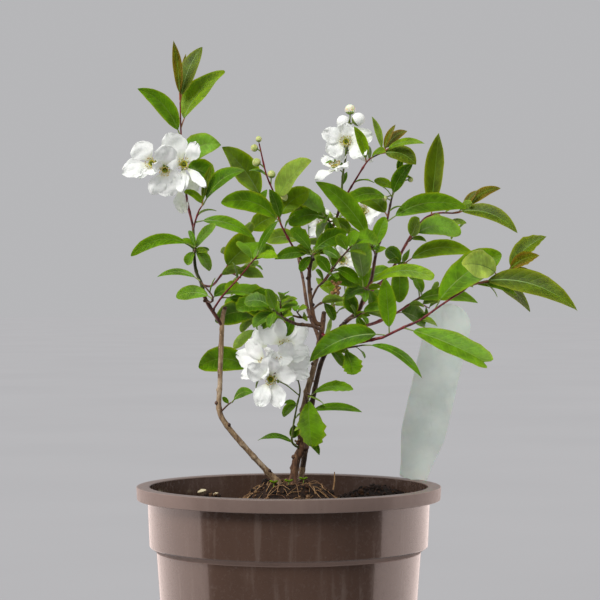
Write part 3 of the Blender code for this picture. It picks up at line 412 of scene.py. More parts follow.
    "low_front_leaves": dict(
        on=("trunk", 0.8), thick=1.4, reach=44, small=3,
        stem=((27, -12, 233), (36, -17, 234), (47.7, -20, 236)),
        leaves=(
            (0.95, 117, 40, 4.4, "deep", "narrow"), (0.6, 158, 17, 11, "green", "lobed"),
            (0.25, 140, 15, 6, "green", "round"), (0.9, 60, 10, 4, "deep", "round"),
        ),
    ),
    "inner_front_leaves": dict(
        on=("middle_bough", 0.35), thick=1.5, reach=30, small=6, twigs=1, small_length=13,
        stem=((18, -12, 272), (23.3, -20, 277), (30.8, -27, 288), (39.5, -32, 298)),
        leaves=(
            (0.75, -60, 12, 6, "deep", "round"), (0.9, -35, 12, 7, "green", "toothed"),
            (0.35, 95, 22, 9, "green", "round"), (0.6, 120, 18, 8, "deep", "round"),
            (0.5, -35, 14, 7, "deep", "round"), (1, 85, 16, 8, "green", "toothed"),
            (0.95, 25, 12, 7, "green", "round"),
        ),
    ),
    "front_leaves": dict(
        on=("front_bough", 1), thick=1.5, reach=32, small=3, twigs=1, small_length=15,
        stem=((-6, -42, 255), (-10, -50, 258)),
        leaves=(
            (1, -75, 18, 8, "deep", "toothed"), (0.9, -20, 14, 7, "green", "pointed"),
            (0.6, 60, 14, 7, "green", "round"), (0.5, -115, 17, 8, "deep", "round"),
            (0.05, -31, 13, 5, "fresh", "pointed"),
        ),
    ),
    "inner_right_leaves": dict(
        on=("right_bough", 0.05), thick=1.4, reach=26, small=3, small_length=12,
        stem=((41, -3, 253), (46, -9, 256)),
        leaves=(
            (1, 75, 15, 6, "green", "round"), (0.7, 30, 19, 10, "green", "toothed"),
            (0.9, 105, 17, 5, "fresh", "round"), (0.5, -20, 16, 9, "deep", "round"),
            (0.6, 160, 12, 6, "deep", "round"),
        ),
    ),
    "inner_left_leaves": dict(
        on=("middle_bough", 0.15), thick=1.4, reach=30, small=3, twigs=1, small_length=13,
        stem=((8, -11, 253), (0, -15, 255), (-10, -20, 257)),
        leaves=(
            (1, -85, 22, 9, "deep", "toothed"), (0.8, -125, 18, 8, "green", "round"),
            (0.6, -27, 14, 6, "green", "pointed"), (0.5, -160, 13, 7, "deep", "round"),
            (0.9, -50, 20, 8, "deep", "toothed"),
        ),
    ),
    "back_crown_leaves": dict(
        on=("back_bough", 1), thick=1.6, reach=34, small=4, twigs=1, small_length=20,
        stem=((7, 70, 298), (17, 76, 307), (32, 78, 316)),
        leaves=(
            (1, 40, 22, 10, "blue", "round"), (0.8, -60, 24, 10, "fresh", "round"),
            (0.6, 110, 20, 10, "green", "round"), (0.3, -85, 24, 10, "fresh", "round"),
        ),
        flowers=((0.6, 4, -9, 4, (0.1, -0.9, 0.2), 0.85, 0), (1, 15, -6, 4, (0.3, -0.9, 0.2), 0.85, 20)),
    ),
    "back_left_leaves": dict(
        on=("left_back_bough", 1), thick=1.5, reach=30, small=4, twigs=1, small_length=18,
        stem=((-18, 58, 253), (-24, 64, 256)),
        leaves=(
            (1, -70, 18, 8, "green", "round"), (0.8, -20, 16, 7, "fresh", "pointed"),
            (0.6, 100, 18, 8, "green", "round"), (0.4, -95, 30, 14, "deep", "round"),
        ),
    ),
    "back_low_leaves": dict(
        on=("back_bough", 0.45), thick=1.5, reach=34, small=4, twigs=1, small_length=18,
        stem=((20, 46, 262), (34, 58, 266), (46, 66, 272)),
        leaves=(
            (1, 60, 22, 9, "green", "round"), (0.8, 110, 22, 9, "green", "round"),
            (0.5, -40, 18, 8, "fresh", "pointed"), (0.3, 150, 14, 6, "deep", "round"),
        ),
        flowers=((0.7, -2, -5, 23, (0.1, -1.0, 0.1), 0.85, 30),),
    ),
    "low_flowers": dict(
        on=("trunk", 0.2), thick=1.4, reach=30, small=2,
        stem=(
            (2.2, -8, 175), (2.7, -9, 184.6), (5.2, -11, 198.4), (7, -12, 208), (4, -13, 219), (0, -13, 228),
        ),
        leaves=(
            (0.05, -83, 24, 3.4, "deep", "narrow"), (0.3, 180, 9, 6, "deep", "round"),
            (0.5, -80, 8, 3, "green", "round"), (0.5, -130, 11, 6, "green", "round"),
            (0.22, 80, 43, 6, "deep", "pointed"),
        ),
        flowers=(
            (0.6, -17.4, -9, 10.3, (-0.1, -1.0, -0.15), 1.02, 3),
            (0.8, -19.5, -4, 8, (-0.75, -0.6, 0.2), 0.95, 20),
            (1, -2.6, -3, 7.4, (0.1, -0.95, 0.3), 1.08, -55),
            (0.82, -11, -5, 7.8, (0.4, -0.85, -0.25), 1.05, 80),
        ),
    ),
    "low_right_leaves": dict(
        on=("trunk", 0.46), thick=1.3, reach=36, small=2,
        stem=((13, -7, 204), (10.5, -14, 205), (12, -11, 191), (11, -9, 177)),
        leaves=(
            (0.12, 78, 28, 6, "green", "toothed"), (0.208, 176, 30, 15, "green", "lobed"),
            (0.6, 87, 34, 5, "deep", "pointed", None, 0.08), (1, 138, 12, 4.5, "deep", "pointed"),
        ),
    ),
}

# Finished leaves
SMALL_LEAF_COLOURS = ("fresh", "green", "deep", "green", "fresh")
SMALL_LEAF_FORMS = ("pointed", "round", "toothed")
WARM_TONES = ("bronze", "lime", "pale", "olive", "fresh", "bright")
LEAF_ROWS = 16
SMALL_LEAF_ROWS = 9
LEAF_COLUMNS = (-1, -0.6, -0.1, 0.1, 0.6, 1)
OUTLINE_WIDTH = 0.485
BLADE_THICKNESS = 0.34
MARGIN_THIN = 0.6
MARGIN_PLAY = 0.05
MARGIN_BEATS = 7.0
MARGIN_LEVEL = 3
RIB_COLUMN = 0.2
RIB_WIDTH = 0.34
RIB_SHARE = 0.02
RIB_TAPER = 1.1
RIB_MOST = 0.3
RIB_SWELL = 0.12
TEETH_FADE = 0.2
NOTCH_POWER = 10
FOLD = (8, 22)
TWIST = 16
WAVES = (0.8, 1.8)
WAVE_HEIGHT = (0.01, 0.06)
DROOP = (-0.02, 0.06)
DROOP_POWER = 2.5
BEND = 0.08
SHORT_STALK = 0.06
STALK_THICK = 0.55
STALK_TAPER = (1, 0.8, 0.75, 0.3)
STALK_SIDES = 6
STALK_IN_BLADE = 0.05
STALK_BEHIND = 0.1
SHARP_EDGE = 62
# Outlines: how fast they widen and narrow, depth of teeth, where teeth start, depth of a notch in the tip
FORMS = {
    "narrow": (0.8, 0.95, 0.0, 1.0, 0.0), "pointed": (0.72, 0.88, 0.02, 0.5, 0.0),
    "round": (0.72, 0.6, 0.03, 0.55, 0.0), "jagged": (0.75, 0.95, 0.16, 0.35, 0.0),
    "toothed": (0.85, 0.6, 0.16, 0.4, 0.0), "cut": (0.6, 0.3, 0.0, 0.9, 0.0),
    "notched": (0.5, 0.3, 0.06, 0.6, 0.12), "lobed": (0.9, 0.5, 0.26, 0.45, 0.0),
}

# Finished twigs and bark
SHOOT_STEP = 2.0
SHOOT_SIDES = 8
STEM_TIP_RADIUS = 0.45
TWIG_RADII = (0.55, 0.35)
TIP_PINCH = 0.4
FINE_PEDICEL_RADIUS = 0.425
NODE_SPACE = (9.0, 16.0)
NODE_LENGTH = 1.1
NODE_SWELL = 0.32
SHOOT_COLOURS = dict.fromkeys((
    "left_crown_leaves", "left_shoot_leaves", "left_front_leaves", "left_back_leaves", "bud_spray",
    "arch_leaves", "right_low_leaves", "right_back_top_leaves", "low_back_leaves",
), "shoot_red")
SHOOT_COLOURS.update(dict.fromkeys(("upper_flowers", "low_flowers"), "shoot_green"))
SHOOT_COLOURS.update(dict.fromkeys(("right_top_leaves", "middle_rosette_leaves"), "shoot_dark"))
BARK_STEP = 1.2
BARK_SIDES = 20
BARK_MAP_LENGTH = 100
FOOT_DEPTH = 2.5
FOOT_FLARE = 1.05
FURROW_TURNS = 1.7
FURROW_LENGTH = 14.0
FURROW_DEPTH = 0.16
ROUGH_TURNS = 2.3
ROUGH_LENGTH = 1.6
ROUGH_DEPTH = 0.06
SCAR_SIZES = (0.6, 1.3)
SCAR_LENGTH = 1.2
SCAR_REACH = 3
SCAR_RING = 0.10
SCAR_KNOT = 0.34
SCAR_POINT = 6
BARK_COLOURS = {
    "trunk": "bark_old", "second_stem": "bark_pale", "left_stem": "bark_pale", "right_low_bough": "shoot_red",
    "right_bough": "shoot_dark", "right_back_bough": "shoot_red", "low_back_bough": "shoot_red",
    "upper_bough": "shoot_dark", "left_bough": "shoot_dark",
}
# Where a limb's bark changes, as shares of its length
BARK_CHANGES = {
    "left_bough": ((0.34, "shoot_olive"),), "trunk": ((0.3, "bark_tan"), (0.72, "bark_brown")),
    # Above its pale foot the second stem takes a darker bark. This is painted shade where the stem shows
    # beside the trunk.
    "middle_bough": ((0.0, "bark_brown"),), "second_stem": ((0.11, "bark_dark"),),
}
# Knots and cut ends on each limb: height, side, size
KNOTS = {
    "left_stem": ((200.5, -1, 1.3), (186.5, 1, 1.3), (157.5, 1, 1.2), (258.8, 0, 1.5)),
    "left_bough": ((264.0, -1, 1.2), (258.5, 1, 1.1)),
    "trunk": ((172.0, 1, 2.2), (175.0, -1, 1.8), (166.0, -1, 1.5), (224.0, -1, 1.2), (255.6, 0, 1.5)),
    "second_stem": ((196.0, 1, 1.2),),
    "middle_bough": ((277.5, -1, 1.1), (271.0, 1, 1.0), (261.5, 1, 1.1), (289.5, 1, 1.2)),
    "right_bough": ((268.0, 1, 1.0),),
}
KNOT_FRONT = -0.5
KNOT_SINK = 0.9
KNOT_WAY = (0.1, -0.3, 0.5)
KNOT_ASIDE = 0.7
KNOT_GRAIN = (6, 10)
# Red winter buds on the trunk: across, depth, height, size
WINTER_BUDS = (
    (5.2, -3.5, 175.0, 0.9), (4.4, -3.5, 173.0, 0.8), (6.2, -4, 176.6, 0.8), (4.2, -3.5, 176.2, 0.7),
)
WINTER_BUD_WAY = (-0.4, -0.3, 1)
WINTER_BUD_GRAIN = (6, 9)

# Petals
PETAL_ROWS = 20
PETAL_COLUMNS = (-1, -0.84, -0.66, -0.44, -0.2, 0, 0.2, 0.44, 0.66, 0.84, 1)
PETAL_HALF_THICK = 0.13
PETAL_LENGTHS = (0.88, 1.08)
PETAL_WIDTHS = (0.8, 1.05)
PETAL_CUPS = (6, 24)
PETAL_STRETCH = 1.35
PETAL_STEP = 0.16
PETAL_SINK = 1.7
PETAL_SINK_END = 0.4
CLAW_WIDTH = 0.14
CLAW_OPENS = (0.04, 0.6)
TIP_ROUNDING = 4
PETAL_WAVE = (0.5, 1.2)
WAVE_BEATS = 1.1
WAVE_SLANT = 2.2
WAVE_MIDDLE = 0.3
PETAL_RUFFLE = (0.5, 1.05)
RUFFLE_BEATS = (2.6, 4.5)
RUFFLE_OPENS = (0.1, 0.7)
PETAL_CURL = (-0.12, 0.2)
CURL_BACK = 0.5
PETAL_DISH = 0.12
PETAL_LEAN = 0.12
PETAL_NOTCH = (0.0, 0.16)
NOTCH_ASIDE = 0.4
NOTCH_SLOPE = 2.2
TIP_POWER = 9
PETAL_TEAR = 0.11
TEAR_BEATS = ((9, 5), (21, 7))
TIP_TEAR_BEATS = 4
TIP_TEAR_LEVEL = 1.5
# Petals that face the front, flower by flower: heading clockwise from up, length, width
PETAL_PLANS = {
    "left_crown_leaves": (
        ((-27, 15, 16.5), (-110, 18, 14), (165, 9, 10), (212, 12, 6), (52, 11, 11)),
        ((-23, 21.5, 17), (38, 15.5, 11), (136, 21.5, 7), (182, 18, 9), (-82, 12, 11)),
        ((0, 15.5, 15), (170, 15, 17), (212, 16, 12), (-62, 9, 9), (120, 11, 10)),
    ),
    "upper_flowers": (
        ((-65, 15.8, 12), (-127, 14.2, 12.5), (130, 15.5, 13), (73, 17, 12.5), (6, 11.5, 13)),
        ((-134, 16, 11), (42, 11, 9), (115, 12, 9), (-60, 10, 9), (180, 10, 9)),
    ),
    "low_flowers": (
        ((2, 17, 13), (-62, 17.5, 13.5), (68, 17, 13), (-151, 18.5, 12.5), (155, 18.5, 12)),
        ((-75, 17, 14), (-20, 15, 13), (-125, 14, 12), (40, 11, 10), (150, 10, 10)),
        ((-58, 20, 16), (-18, 17, 9), (20, 16, 10), (57, 17.5, 12), (110, 15.5, 10), (187, 14, 13)),
        ((80, 19, 15), (116, 19, 12), (30, 15, 12), (160, 12, 11), (-60, 11, 10)),
    ),
}
# Petals of flowers that stand behind: across, depth, height, heading, length, width, finish
LOOSE_PETALS = (
    (-64.0, -3, 343.0, 150, 14, 10, "petal_pale"), (-69.0, -4, 335.0, 172, 17, 10.5, "petal_pale"),
    (-14.0, -15, 232.0, -20, 15, 12, "petal"), (-4.0, -15, 226.0, 72, 17, 13, "petal"),
    (39.0, -2, 354.5, 102, 14, 5.5, "petal"),
)
LOOSE_LEAN = 12
LOOSE_TILT = 25

# Flower middles, as steps of height, way out and radius
CUP_SIDES = 20
CUP_FOOT = (-DISC_DEPTH, 0.5)
CUP_STEPS = ((-1.6, 0.7), (-0.3, 0.88), (0.7, 0.94), (0.9, 0.8), (0.4, 0.56))
CUP_GREEN_RINGS = 3
CUP_YELLOW_RINGS = 2
STYLES = 5
STYLE_PLAY = 0.3
STYLE = ((0.4, 0.35, 0.3), (1.2, 0.55, 0.2), (1.9, 0.95, 0.24))
SEPAL_ROOT = 0.6
SEPAL = ((-0.9, 0, 0.8), (-1.0, 1.5, 0.65), (-0.8, 2.6, 0.1))
STAMENS = 20
STAMEN_PLAY = 0.12
STAMEN_ROOT = 0.86
STAMEN_FOOT = 0.7
STAMEN_REACH = (0.5, 1.9)
STAMEN_RISE = (1.0, 2.2)
STAMEN_BOW = 0.2
STAMEN_LIFT = 0.3
STAMEN_RADII = (0.16, 0.13, 0.12)
STAMEN_SIDES = 4
ANTHER_RADIUS = 0.4
ANTHER_LENGTH = 0.45
ANTHER_GRAIN = (3, 5)
FINE_SIDES = 5

# Buds and a dry flower
YOUNG_BUD = 6.0
OPEN_SWELL = 1.28
OPENING_BUDS = {"upper_flowers": (1, 2)}
FINE_BUD_SIDES = 15
FINE_BUD_RINGS = 10
BUD_RING_START = 0.35
BUD_RING_SPAN = 9.7
BUD_CUP_RINGS = 3
BUD_FOLDS = 5
BUD_FOLD_TURN = 0.7
BUD_FOLD_DEPTH = 0.05
DRY_FLOWER = (28.8, -24, 272.0)
DRY_LOBES = 16
DRY_REACH = (3.4, 1.6, 3.8)
DRY_STRETCH = 1.4
DRY_SIZES = (0.7, 1.3)
LOBE_GRAIN = (5, 8)

# Finished pot
EDGE_RADIUS = 0.55
EDGE_MOST = 0.45
EDGE_ZONE = 0.8
EDGE_SPARE = 0.2
STEP_SPARE = 0.3
ARC_POINTS = 4
INNER_SPOT = 2.0
RIM_DRAFT = 0.4
RIM_FROM = COLLAR_TOP_RADIUS + 2
DRAIN_SIDES = 32
CUT_PAST = 1
SLOT_DEPTH = 2.5 * WALL

# Finished soil
SOIL_SPOKES = 200
SOIL_RINGS = 90
SOIL_CROWDING = 0.8
SOIL_GAP = 0.1
SOIL_LUMPS = ((9, 0.9), (3.1, 0.7), (1.3, 0.35))
SOIL_SINK = 0.7
LITTER_EDGE = COLLAR_FOOT_RADIUS - 4
LEAST_SPOT = 0.004
CRUMBS = 2000
CRUMB_SIZES = (0.4, 1.0)
BIG_CRUMB_SIZES = (1.2, 2.4)
BIG_CRUMB_EVERY = 9
CRUMB_RISE = 0.4
CRUMB_SLANT = 0.6
CRUMB_GRAIN = (4, 6)
CRUMB_COLOURS = ("crumb_dark", "crumb_dark", "crumb_brown", "crumb_brown", "crumb_tan")
HEAP_DARK = 2.0
HEAP_COLOURS = ("crumb_dark", "crumb_dark", "crumb_dark", "crumb_brown")
FIBRES = 760
FIBRE_LENGTH = (4.0, 20.0)
FIBRE_BOW = 0.5
FIBRE_GAP = 0.3
FIBRE_RISE = (0.3, 1.8)
FIBRE_THICK = (0.12, 0.3)
FIBRE_STEPS = 5
FIBRE_LEAST = 2
FIBRE_LEAST_STEP = 0.05
FIBRE_COLOURS = ("fibre_tan", "fibre_tan", "fibre_brown")
# Seedlings on the mound: across, depth, height of stalk
SEEDLINGS = ((-9.5, -13, 3.0), (-0.3, -14, 2.6), (8.8, -11, 3.4), (-31, -20, 2.4))
SEEDLING_LEAN = (0.3, -0.4)
SEEDLING_BOW = 0.2
SEEDLING_RADII = (0.3, 0.26, 0.22)
SEED_LEAF = (1.5, -0.3, 0.6)
SEED_LEAF_OUT = 0.8
SEED_LEAF_SIZE = 0.75
# Bark chips: across, depth, height above the soil, size
CHIPS = ((-57.0, 58, 7.2, 4.2), (-48.0, 60, 5.6, 2.4), (-22.0, -34, 0.6, 1.8), (34.0, -30, 0.6, 2.0))
CHIP_RADIUS = 0.42
CHIP_LENGTH = 0.75
CHIP_TURN = 0.3
CHIP_TIP = 0.2
CHIP_GRAIN = (3, 4)
PILE_PLACE = (-51.0, 60.0)
PILE_REACH = (9.0, 5.0)
PILE_RISE = 6.2
PILE_LEAST = 0.2
PILE_CRUMBS = 130
PILE_SIZES = (0.8, 1.5)
STRAW = ((27.6, -16, 147.0), (28.3, -17, 158.0))
STRAW_BOW = 0.4
STRAW_RADII = (0.5, 0.45, 0.3)

# Finished label
LABEL_BOW = 0.6
LABEL_BOW_END = 30
LABEL_COLUMNS = 13
LABEL_ROWS = (8, 10, 16)
LABEL_EDGE = 0.9
LABEL_EDGE_THIN = 0.35
LABEL_CORNERS = ((0.05, 1.0), (0.6, 0.2))
LABEL_TIP = 0.01


def tone(red, green, blue):
    """The colour that shows as these values of 0 to 255, as a shader takes it."""
    shares = [value / 255 for value in (red, green, blue)]
    linear = [share / 12.92 if share <= 0.04045 else ((share + 0.055) / 1.055) ** 2.4 for share in shares]
    return (*linear, 1.0)


# Patterns below are size in millimetres, detail, stretch and roughness. What shows of a pattern is where it
# starts, where it is full, and its share. Relief is depth in millimetres and strength.
MIDDLE = (0.3, 0.7)

# Leaf colours and roughness
LEAF_TONES = {
    "fresh": (108, 140, 0), "green": (96, 138, 4), "deep": (76, 116, 2), "olive": (84, 106, 0),
    "blue": (114, 156, 44), "lime": (116, 154, 6), "pale": (126, 152, 50), "bronze": (104, 108, 6),
    # The bright green is painted light: a much lighter copy for one round leaf that faces away from the key
    # light
    "bright": (176, 204, 84),
}
UNDER_TONE = (128, 158, 54)
EDGE_TONES = {"bronze": tone(128, 72, 26), "olive": tone(98, 104, 6)}
EDGE_DRIFT = (6, 2.0)
EDGE_WANDER = 0.3
EDGE_SHOW = (0.36, 0.52, 0.5)
LEAF_ROUGHNESS = 0.46
LEAF_GLOSS = {"deep": 0.40, "bronze": 0.38, "pale": 0.58, "blue": 0.55}
UNDER_ROUGHNESS = 0.62
LEAF_SHINE = 0.14
LEAF_GLOW_WEIGHT = 0.5
LEAF_GLOW_DEPTH = 0.8
LEAF_GLOW = (0.8, 1.0, 0.15)
VEIN_COUNT = 9.0
VEIN_SLANT = 3.2
VEIN_DRIFT = (5, 2.0)
VEIN_WANDER = 0.55
VEIN_WIDTH = 0.11
VEIN_LIGHT = (1.4, 1.4, 1.4, 0.012)
VEIN_SHOW = 0.36
VEIN_RISE = 0.3
VEIN_RELIEF = (0.09, 0.7)
LEAF_DARK = (0.66, 0.66, 0.66)
LEAF_LIGHT = (1.28, 1.28, 1.28)
LEAF_BLOTCH = 9
BLOTCH_SHOW = (0.32, 0.68)
LEAF_TIP = (1.5, 1.2, 1.0)
LEAF_TIP_SHOW = (0.7, 1.05, 0.5)
LEAF_GRAIN = (0.9, 4.0)
LEAF_GRAIN_SHOW = (0.35, 0.7, 0.3)
LEAF_GRAIN_SHINE = (0.2, 0.8)
LEAF_GRAIN_RELIEF = (0.02, 0.5)
LEAF_SMOOTHER = 0.07
LEAF_ROUGHER = 0.09

# Bark and shoots: colour, streaks, patches, roughness, depth of relief
BARKS = {
    "bark_pale": ((160, 134, 100), (98, 74, 52), (198, 178, 150), 0.8, 0.3),
    "bark_old": ((104, 68, 42), (52, 32, 20), (144, 110, 78), 0.78, 0.35),
    "bark_tan": ((146, 120, 88), (86, 62, 42), (184, 164, 134), 0.78, 0.3),
    # The next bark is painted shade: a darker copy of bark, used only on the second stem beside the trunk
    "bark_dark": ((74, 54, 38), (34, 24, 18), (104, 82, 60), 0.8, 0.3),
    "bark_brown": ((108, 70, 42), (54, 33, 23), (136, 104, 70), 0.66, 0.2),
    "knot": ((78, 50, 36), (34, 20, 15), (112, 80, 60), 0.7, 0.2),
    "shoot_brown": ((98, 60, 36), (50, 29, 20), (116, 96, 46), 0.52, 0.08),
    "shoot_dark": ((82, 40, 32), (38, 16, 16), (120, 70, 46), 0.48, 0.08),
    "shoot_red": ((128, 26, 38), (62, 12, 20), (156, 66, 50), 0.42, 0.08),
    "shoot_green": ((96, 120, 30), (66, 66, 24), (130, 150, 60), 0.48, 0.06),
    "shoot_olive": ((62, 72, 18), (26, 28, 12), (96, 106, 40), 0.5, 0.06),
}
BARK_STREAKS = (1.6, 5.0, (1, 1, 0.16), 0.65)
BARK_STREAK_SHOW = (0.34, 0.66)
BARK_STRENGTH = 0.8
BARK_PATCH = 7.0
BARK_PATCH_SHOW = (0.48, 0.72, 0.75)
LENTICELS = (1.1, 1.0, (1, 1, 0.7))
LENTICEL_SHOW = (0.66, 0.74, 0.7)
BARK_GRAIN = (0.45, 4.0)
BARK_GRAIN_SHOW = (0.5, 0.75, 0.35)
BARK_GRAIN_DEPTH = 0.3
BARK_GRAIN_STRENGTH = 0.6
BARK_ROUGHER = 0.12
BARK_SMOOTHER = 0.06
# Small soft things: colour, the colour it drifts to, the drift's size, roughness, glow
SOFT_THINGS = {
    "midrib": ((112, 146, 30), (92, 128, 20), 4, 0.5, 0.3),
    "petiole_green": ((126, 152, 60), (112, 120, 58), 6, 0.45, 0.1),
    "petiole_red": ((158, 84, 48), (132, 112, 52), 6, 0.42, 0.1),
    "bud": ((240, 241, 222), (222, 220, 160), 3, 0.5, 0.4),
    "young_bud": ((206, 212, 138), (166, 182, 92), 2.2, 0.5, 0.2),
    "sepal": ((132, 152, 60), (104, 128, 40), 2, 0.55, 0.15),
    "flower_cup": ((196, 188, 46), (158, 158, 34), 1.2, 0.35, 0.1),
    "flower_eye": ((58, 52, 14), (92, 88, 22), 1.2, 0.35, 0.0),
    "style": ((150, 172, 60), (118, 148, 44), 1.5, 0.5, 0.0),
    "filament": ((242, 240, 214), (226, 220, 170), 1.5, 0.5, 0.2),
    "anther": ((214, 190, 96), (160, 120, 52), 0.8, 0.7, 0.0),
    "dry_petal": ((166, 128, 70), (112, 76, 40), 2.5, 0.7, 0.0),
    "winter_bud": ((138, 70, 52), (96, 96, 38), 1.2, 0.6, 0.0),
    "fibre_tan": ((164, 128, 84), (122, 88, 54), 3, 0.75, 0.0),
    "fibre_brown": ((104, 70, 44), (70, 46, 30), 3, 0.8, 0.0),
    "fibre_dark": ((60, 34, 20), (30, 18, 12), 3, 0.8, 0.0),
    "chip": ((206, 196, 164), (160, 142, 108), 3, 0.8, 0.0),
}
SOFT_GLOW_DEPTH = 0.8
SOFT_RELIEF = (0.05, 0.7)
SOFT_GRAINS = 5
SOFT_DETAIL = 4.0
SOFT_SHOW = (0.35, 0.68)
SOFT_SHINE = (0.25, 0.75)
SOFT_PLAY = 0.08
# Petals: colour, shade, glow, and the strength of a painted glow: emission that makes them shine faintly in
# their own colour, as if lit through
PETAL_LOOKS = {
    "petal": ((244, 245, 242), (238, 242, 237), 0.15, 0.07),
    "petal_pale": ((226, 233, 214), (214, 224, 198), 0.8, 0.04),
}
PETAL_VEIN = tone(236, 241, 232)
PETAL_CLAW = tone(234, 240, 204)
PETAL_GLOW_DEPTH = 1.2
PETAL_GLOW = (1.0, 1.0, 0.9)
PETAL_SHINE = 0.35
PETAL_VEINS = 15.0
PETAL_VEIN_DRIFT = 3
PETAL_VEIN_SHOW = (0.0, 0.16, 0.35, 0.0)
PETAL_VEIN_RELIEF = (0.14, 0.8)
PETAL_CLAW_SHOW = (0.05, 0.42, 0.9, 0.0)
PETAL_CLOUD = 4
PETAL_FOLD = 2.4
PETAL_FOLD_RELIEF = (0.35, 0.7)
PETAL_GRAIN = 1.2
PETAL_ROUGHNESS = (0.45, 0.62)
# Peat: colour, dark, light
PEATS = {
    "peat": ((46, 31, 21), (16, 10, 7), (88, 62, 41)),
    "peat_dark": ((26, 17, 12), (9, 6, 4), (52, 37, 26)),
    "crumb_dark": ((34, 23, 16), (14, 9, 7), (60, 42, 30)),
    "crumb_brown": ((76, 51, 33), (38, 25, 17), (110, 77, 51)),
    "crumb_tan": ((134, 104, 72), (88, 62, 42), (168, 138, 104)),
}
PEAT_SHINE = 0.2
PEAT_CLODS = (4.5, 5.0, (1, 1, 1), 0.65)
CLOD_SHOW = (0.35, 0.65)
CLOD_RELIEF = (1.2, 0.8)
PEAT_CRUMBS = (1.1, 5.0, (1, 1, 1), 0.7)
CRUMB_SHOW = (0.56, 0.72, 0.8)
CRUMB_RELIEF = (0.7, 1.0)
PEAT_ROUGHNESS = (0.72, 0.95)
# Pot: colour, roughness, coat
POT_LOOKS = {
    "pot_body": ((84, 64, 54), 0.24, 0.6), "pot_rim": ((120, 101, 93), 0.42, 0.1),
    # The step under the collar is lighter and matte: a painted highlight along the step
    "pot_step": ((132, 108, 97), 0.5, 0.0),
}
POT_DUST = tone(150, 134, 124)
POT_DIRT = tone(60, 46, 38)
COAT_ROUGHNESS = 0.06
PLASTIC_IOR = 1.48
POT_FLOW = (34, 4.0, (1, 1, 0.35))
POT_FLOW_DARK = (0.86, 0.86, 0.86)
POT_RUNS = (5.5, 5.0, (1, 1, 0.05), 0.6)
RUNS_SHOW = (0.52, 0.74, 0.16)
RUNS_ROUGHEN = (0.5, 0.75, 0.0, 0.10)
POT_SPECKS = (1.3, 2.0)
SPECK_SHOW = (0.70, 0.76, 0.55)
SPECK_RELIEF = (0.02, 0.5)
POT_DUSTING = (2.8, 6.0, (1, 1, 1), 0.7)
DUST_SHOW = (0.60, 0.8, 0.35)
DUST_WORN = (0.45, 0.75)
POT_SMOOTHER = 0.02
POT_ROUGHER = 0.16
POT_RIPPLE = (22, 2.0, (1, 1, 0.4))
RIPPLE_RELIEF = (0.10, 0.5)
# Label
LABEL_PALE = tone(224, 233, 227)
LABEL_SHADE = tone(208, 218, 212)
LABEL_SMEAR = tone(186, 194, 186)
LABEL_GLOW = 0.25
LABEL_GLOW_DEPTH = 1.0
LABEL_COAT = 0.15
LABEL_CLOUD = (16, 4.0)
CLOUD_RELIEF = (0.5, 0.3)
LABEL_SCRATCH = (1.6, 3.0, (0.08, 1, 1), 0.5)
SCRATCH_RELIEF = (0.03, 0.6)
SCRATCH_ROUGHEN = (0.35, 0.7, 0.30, 0.52)
LABEL_MARK = (7, 5.0, (1, 1, 0.4), 0.65)
LABEL_MARK_SHOW = (0.58, 0.75, 0.4)

# Floor, light and camera
FLOOR_TONE = (0.475, 0.475, 0.49, 1)
FLOOR_TONE_DEEP = (0.46, 0.46, 0.475, 1)
FLOOR_DRIFT = 600
FLOOR_ROUGHNESS = 0.95
FLOOR_REACH = 30.0
FLOOR_SIDES = 96
BACKDROP = (1.0, 1.0, 1.025, 1)
BACKDROP_GLOW = 0.47
ROOM_LIGHT = 0.43
KEY_STRENGTH = 2.6
KEY_SOFTNESS = 30
KEY_COLOUR = (1.0, 0.985, 0.96)
KEY_FROM = (-0.5, -0.75, 0.9)
CARD_DISTANCE = 0.26
CARD_TOP = 0.62
CARD_STEPS = 24
CARD_COLOUR = (1.0, 0.82, 0.77, 1)
DARK_FROM = -63.5
DARK_TO = 69.0
WINDOW_END = 150
ROOM_GLOW = 0.03
WINDOW_GLOW = 1.9
WINDOW_FADE = 0.8
CAMERA_LENS = 124.8
SENSOR_WIDTH = 36

# The pieces that carry the foliage and twigs of neighbouring masses
REGIONS = {
    "left": (
        "left_crown_leaves", "left_shoot_leaves", "left_side_leaves", "left_rosette_leaves",
        "left_front_leaves", "left_back_leaves", "low_left_back_leaves", "left_stem_leaves",
    ),
    "middle": (
        "bud_spray", "middle_rosette_leaves", "middle_top_leaves", "upper_flowers", "arch_leaves",
        "inner_front_leaves", "inner_left_leaves", "front_leaves", "low_flowers", "low_front_leaves",
        "low_right_leaves",
    ),
    "right": (
        "right_top_leaves", "right_middle_leaves", "right_inner_leaves", "inner_right_leaves",
        "right_low_leaves", "right_back_top_leaves", "right_back_middle_leaves", "right_back_side_leaves",
    ),
    "back": ("back_crown_leaves", "back_left_leaves", "back_low_leaves", "low_back_leaves"),
}


# Paths

def seen(across, depth, height):
    """The real place of a point that shows there from the front: what lies deeper spreads from the eye."""
    spread = (EYE_DISTANCE + depth) / EYE_DISTANCE
    return Vector((
        EYE_ACROSS + (across - EYE_ACROSS) * spread,
        depth,
        EYE_HEIGHT + (height - EYE_HEIGHT) * spread,
    ))


def smooth_path(points, step):
    """A smooth curve through the points, with about this step between its own."""
    ends = [points[0] * 2 - points[1], *points, points[-1] * 2 - points[-2]]
    path = []
    for before, start, end, after in zip(ends, ends[1:], ends[2:], ends[3:]):
        count = max(1, round((end - start).length / step))
        for number in range(count):
            t = number / count
            path.append(
                (start * 2 + (end - before) * t + (before * 2 - start * 5 + end * 4 - after) * t**2
                 + (start * 3 - before - end * 3 + after) * t**3) / 2
            )
    return path + [points[-1]]


def length_of(path):
    return sum((end - start).length for start, end in zip(path, path[1:]))


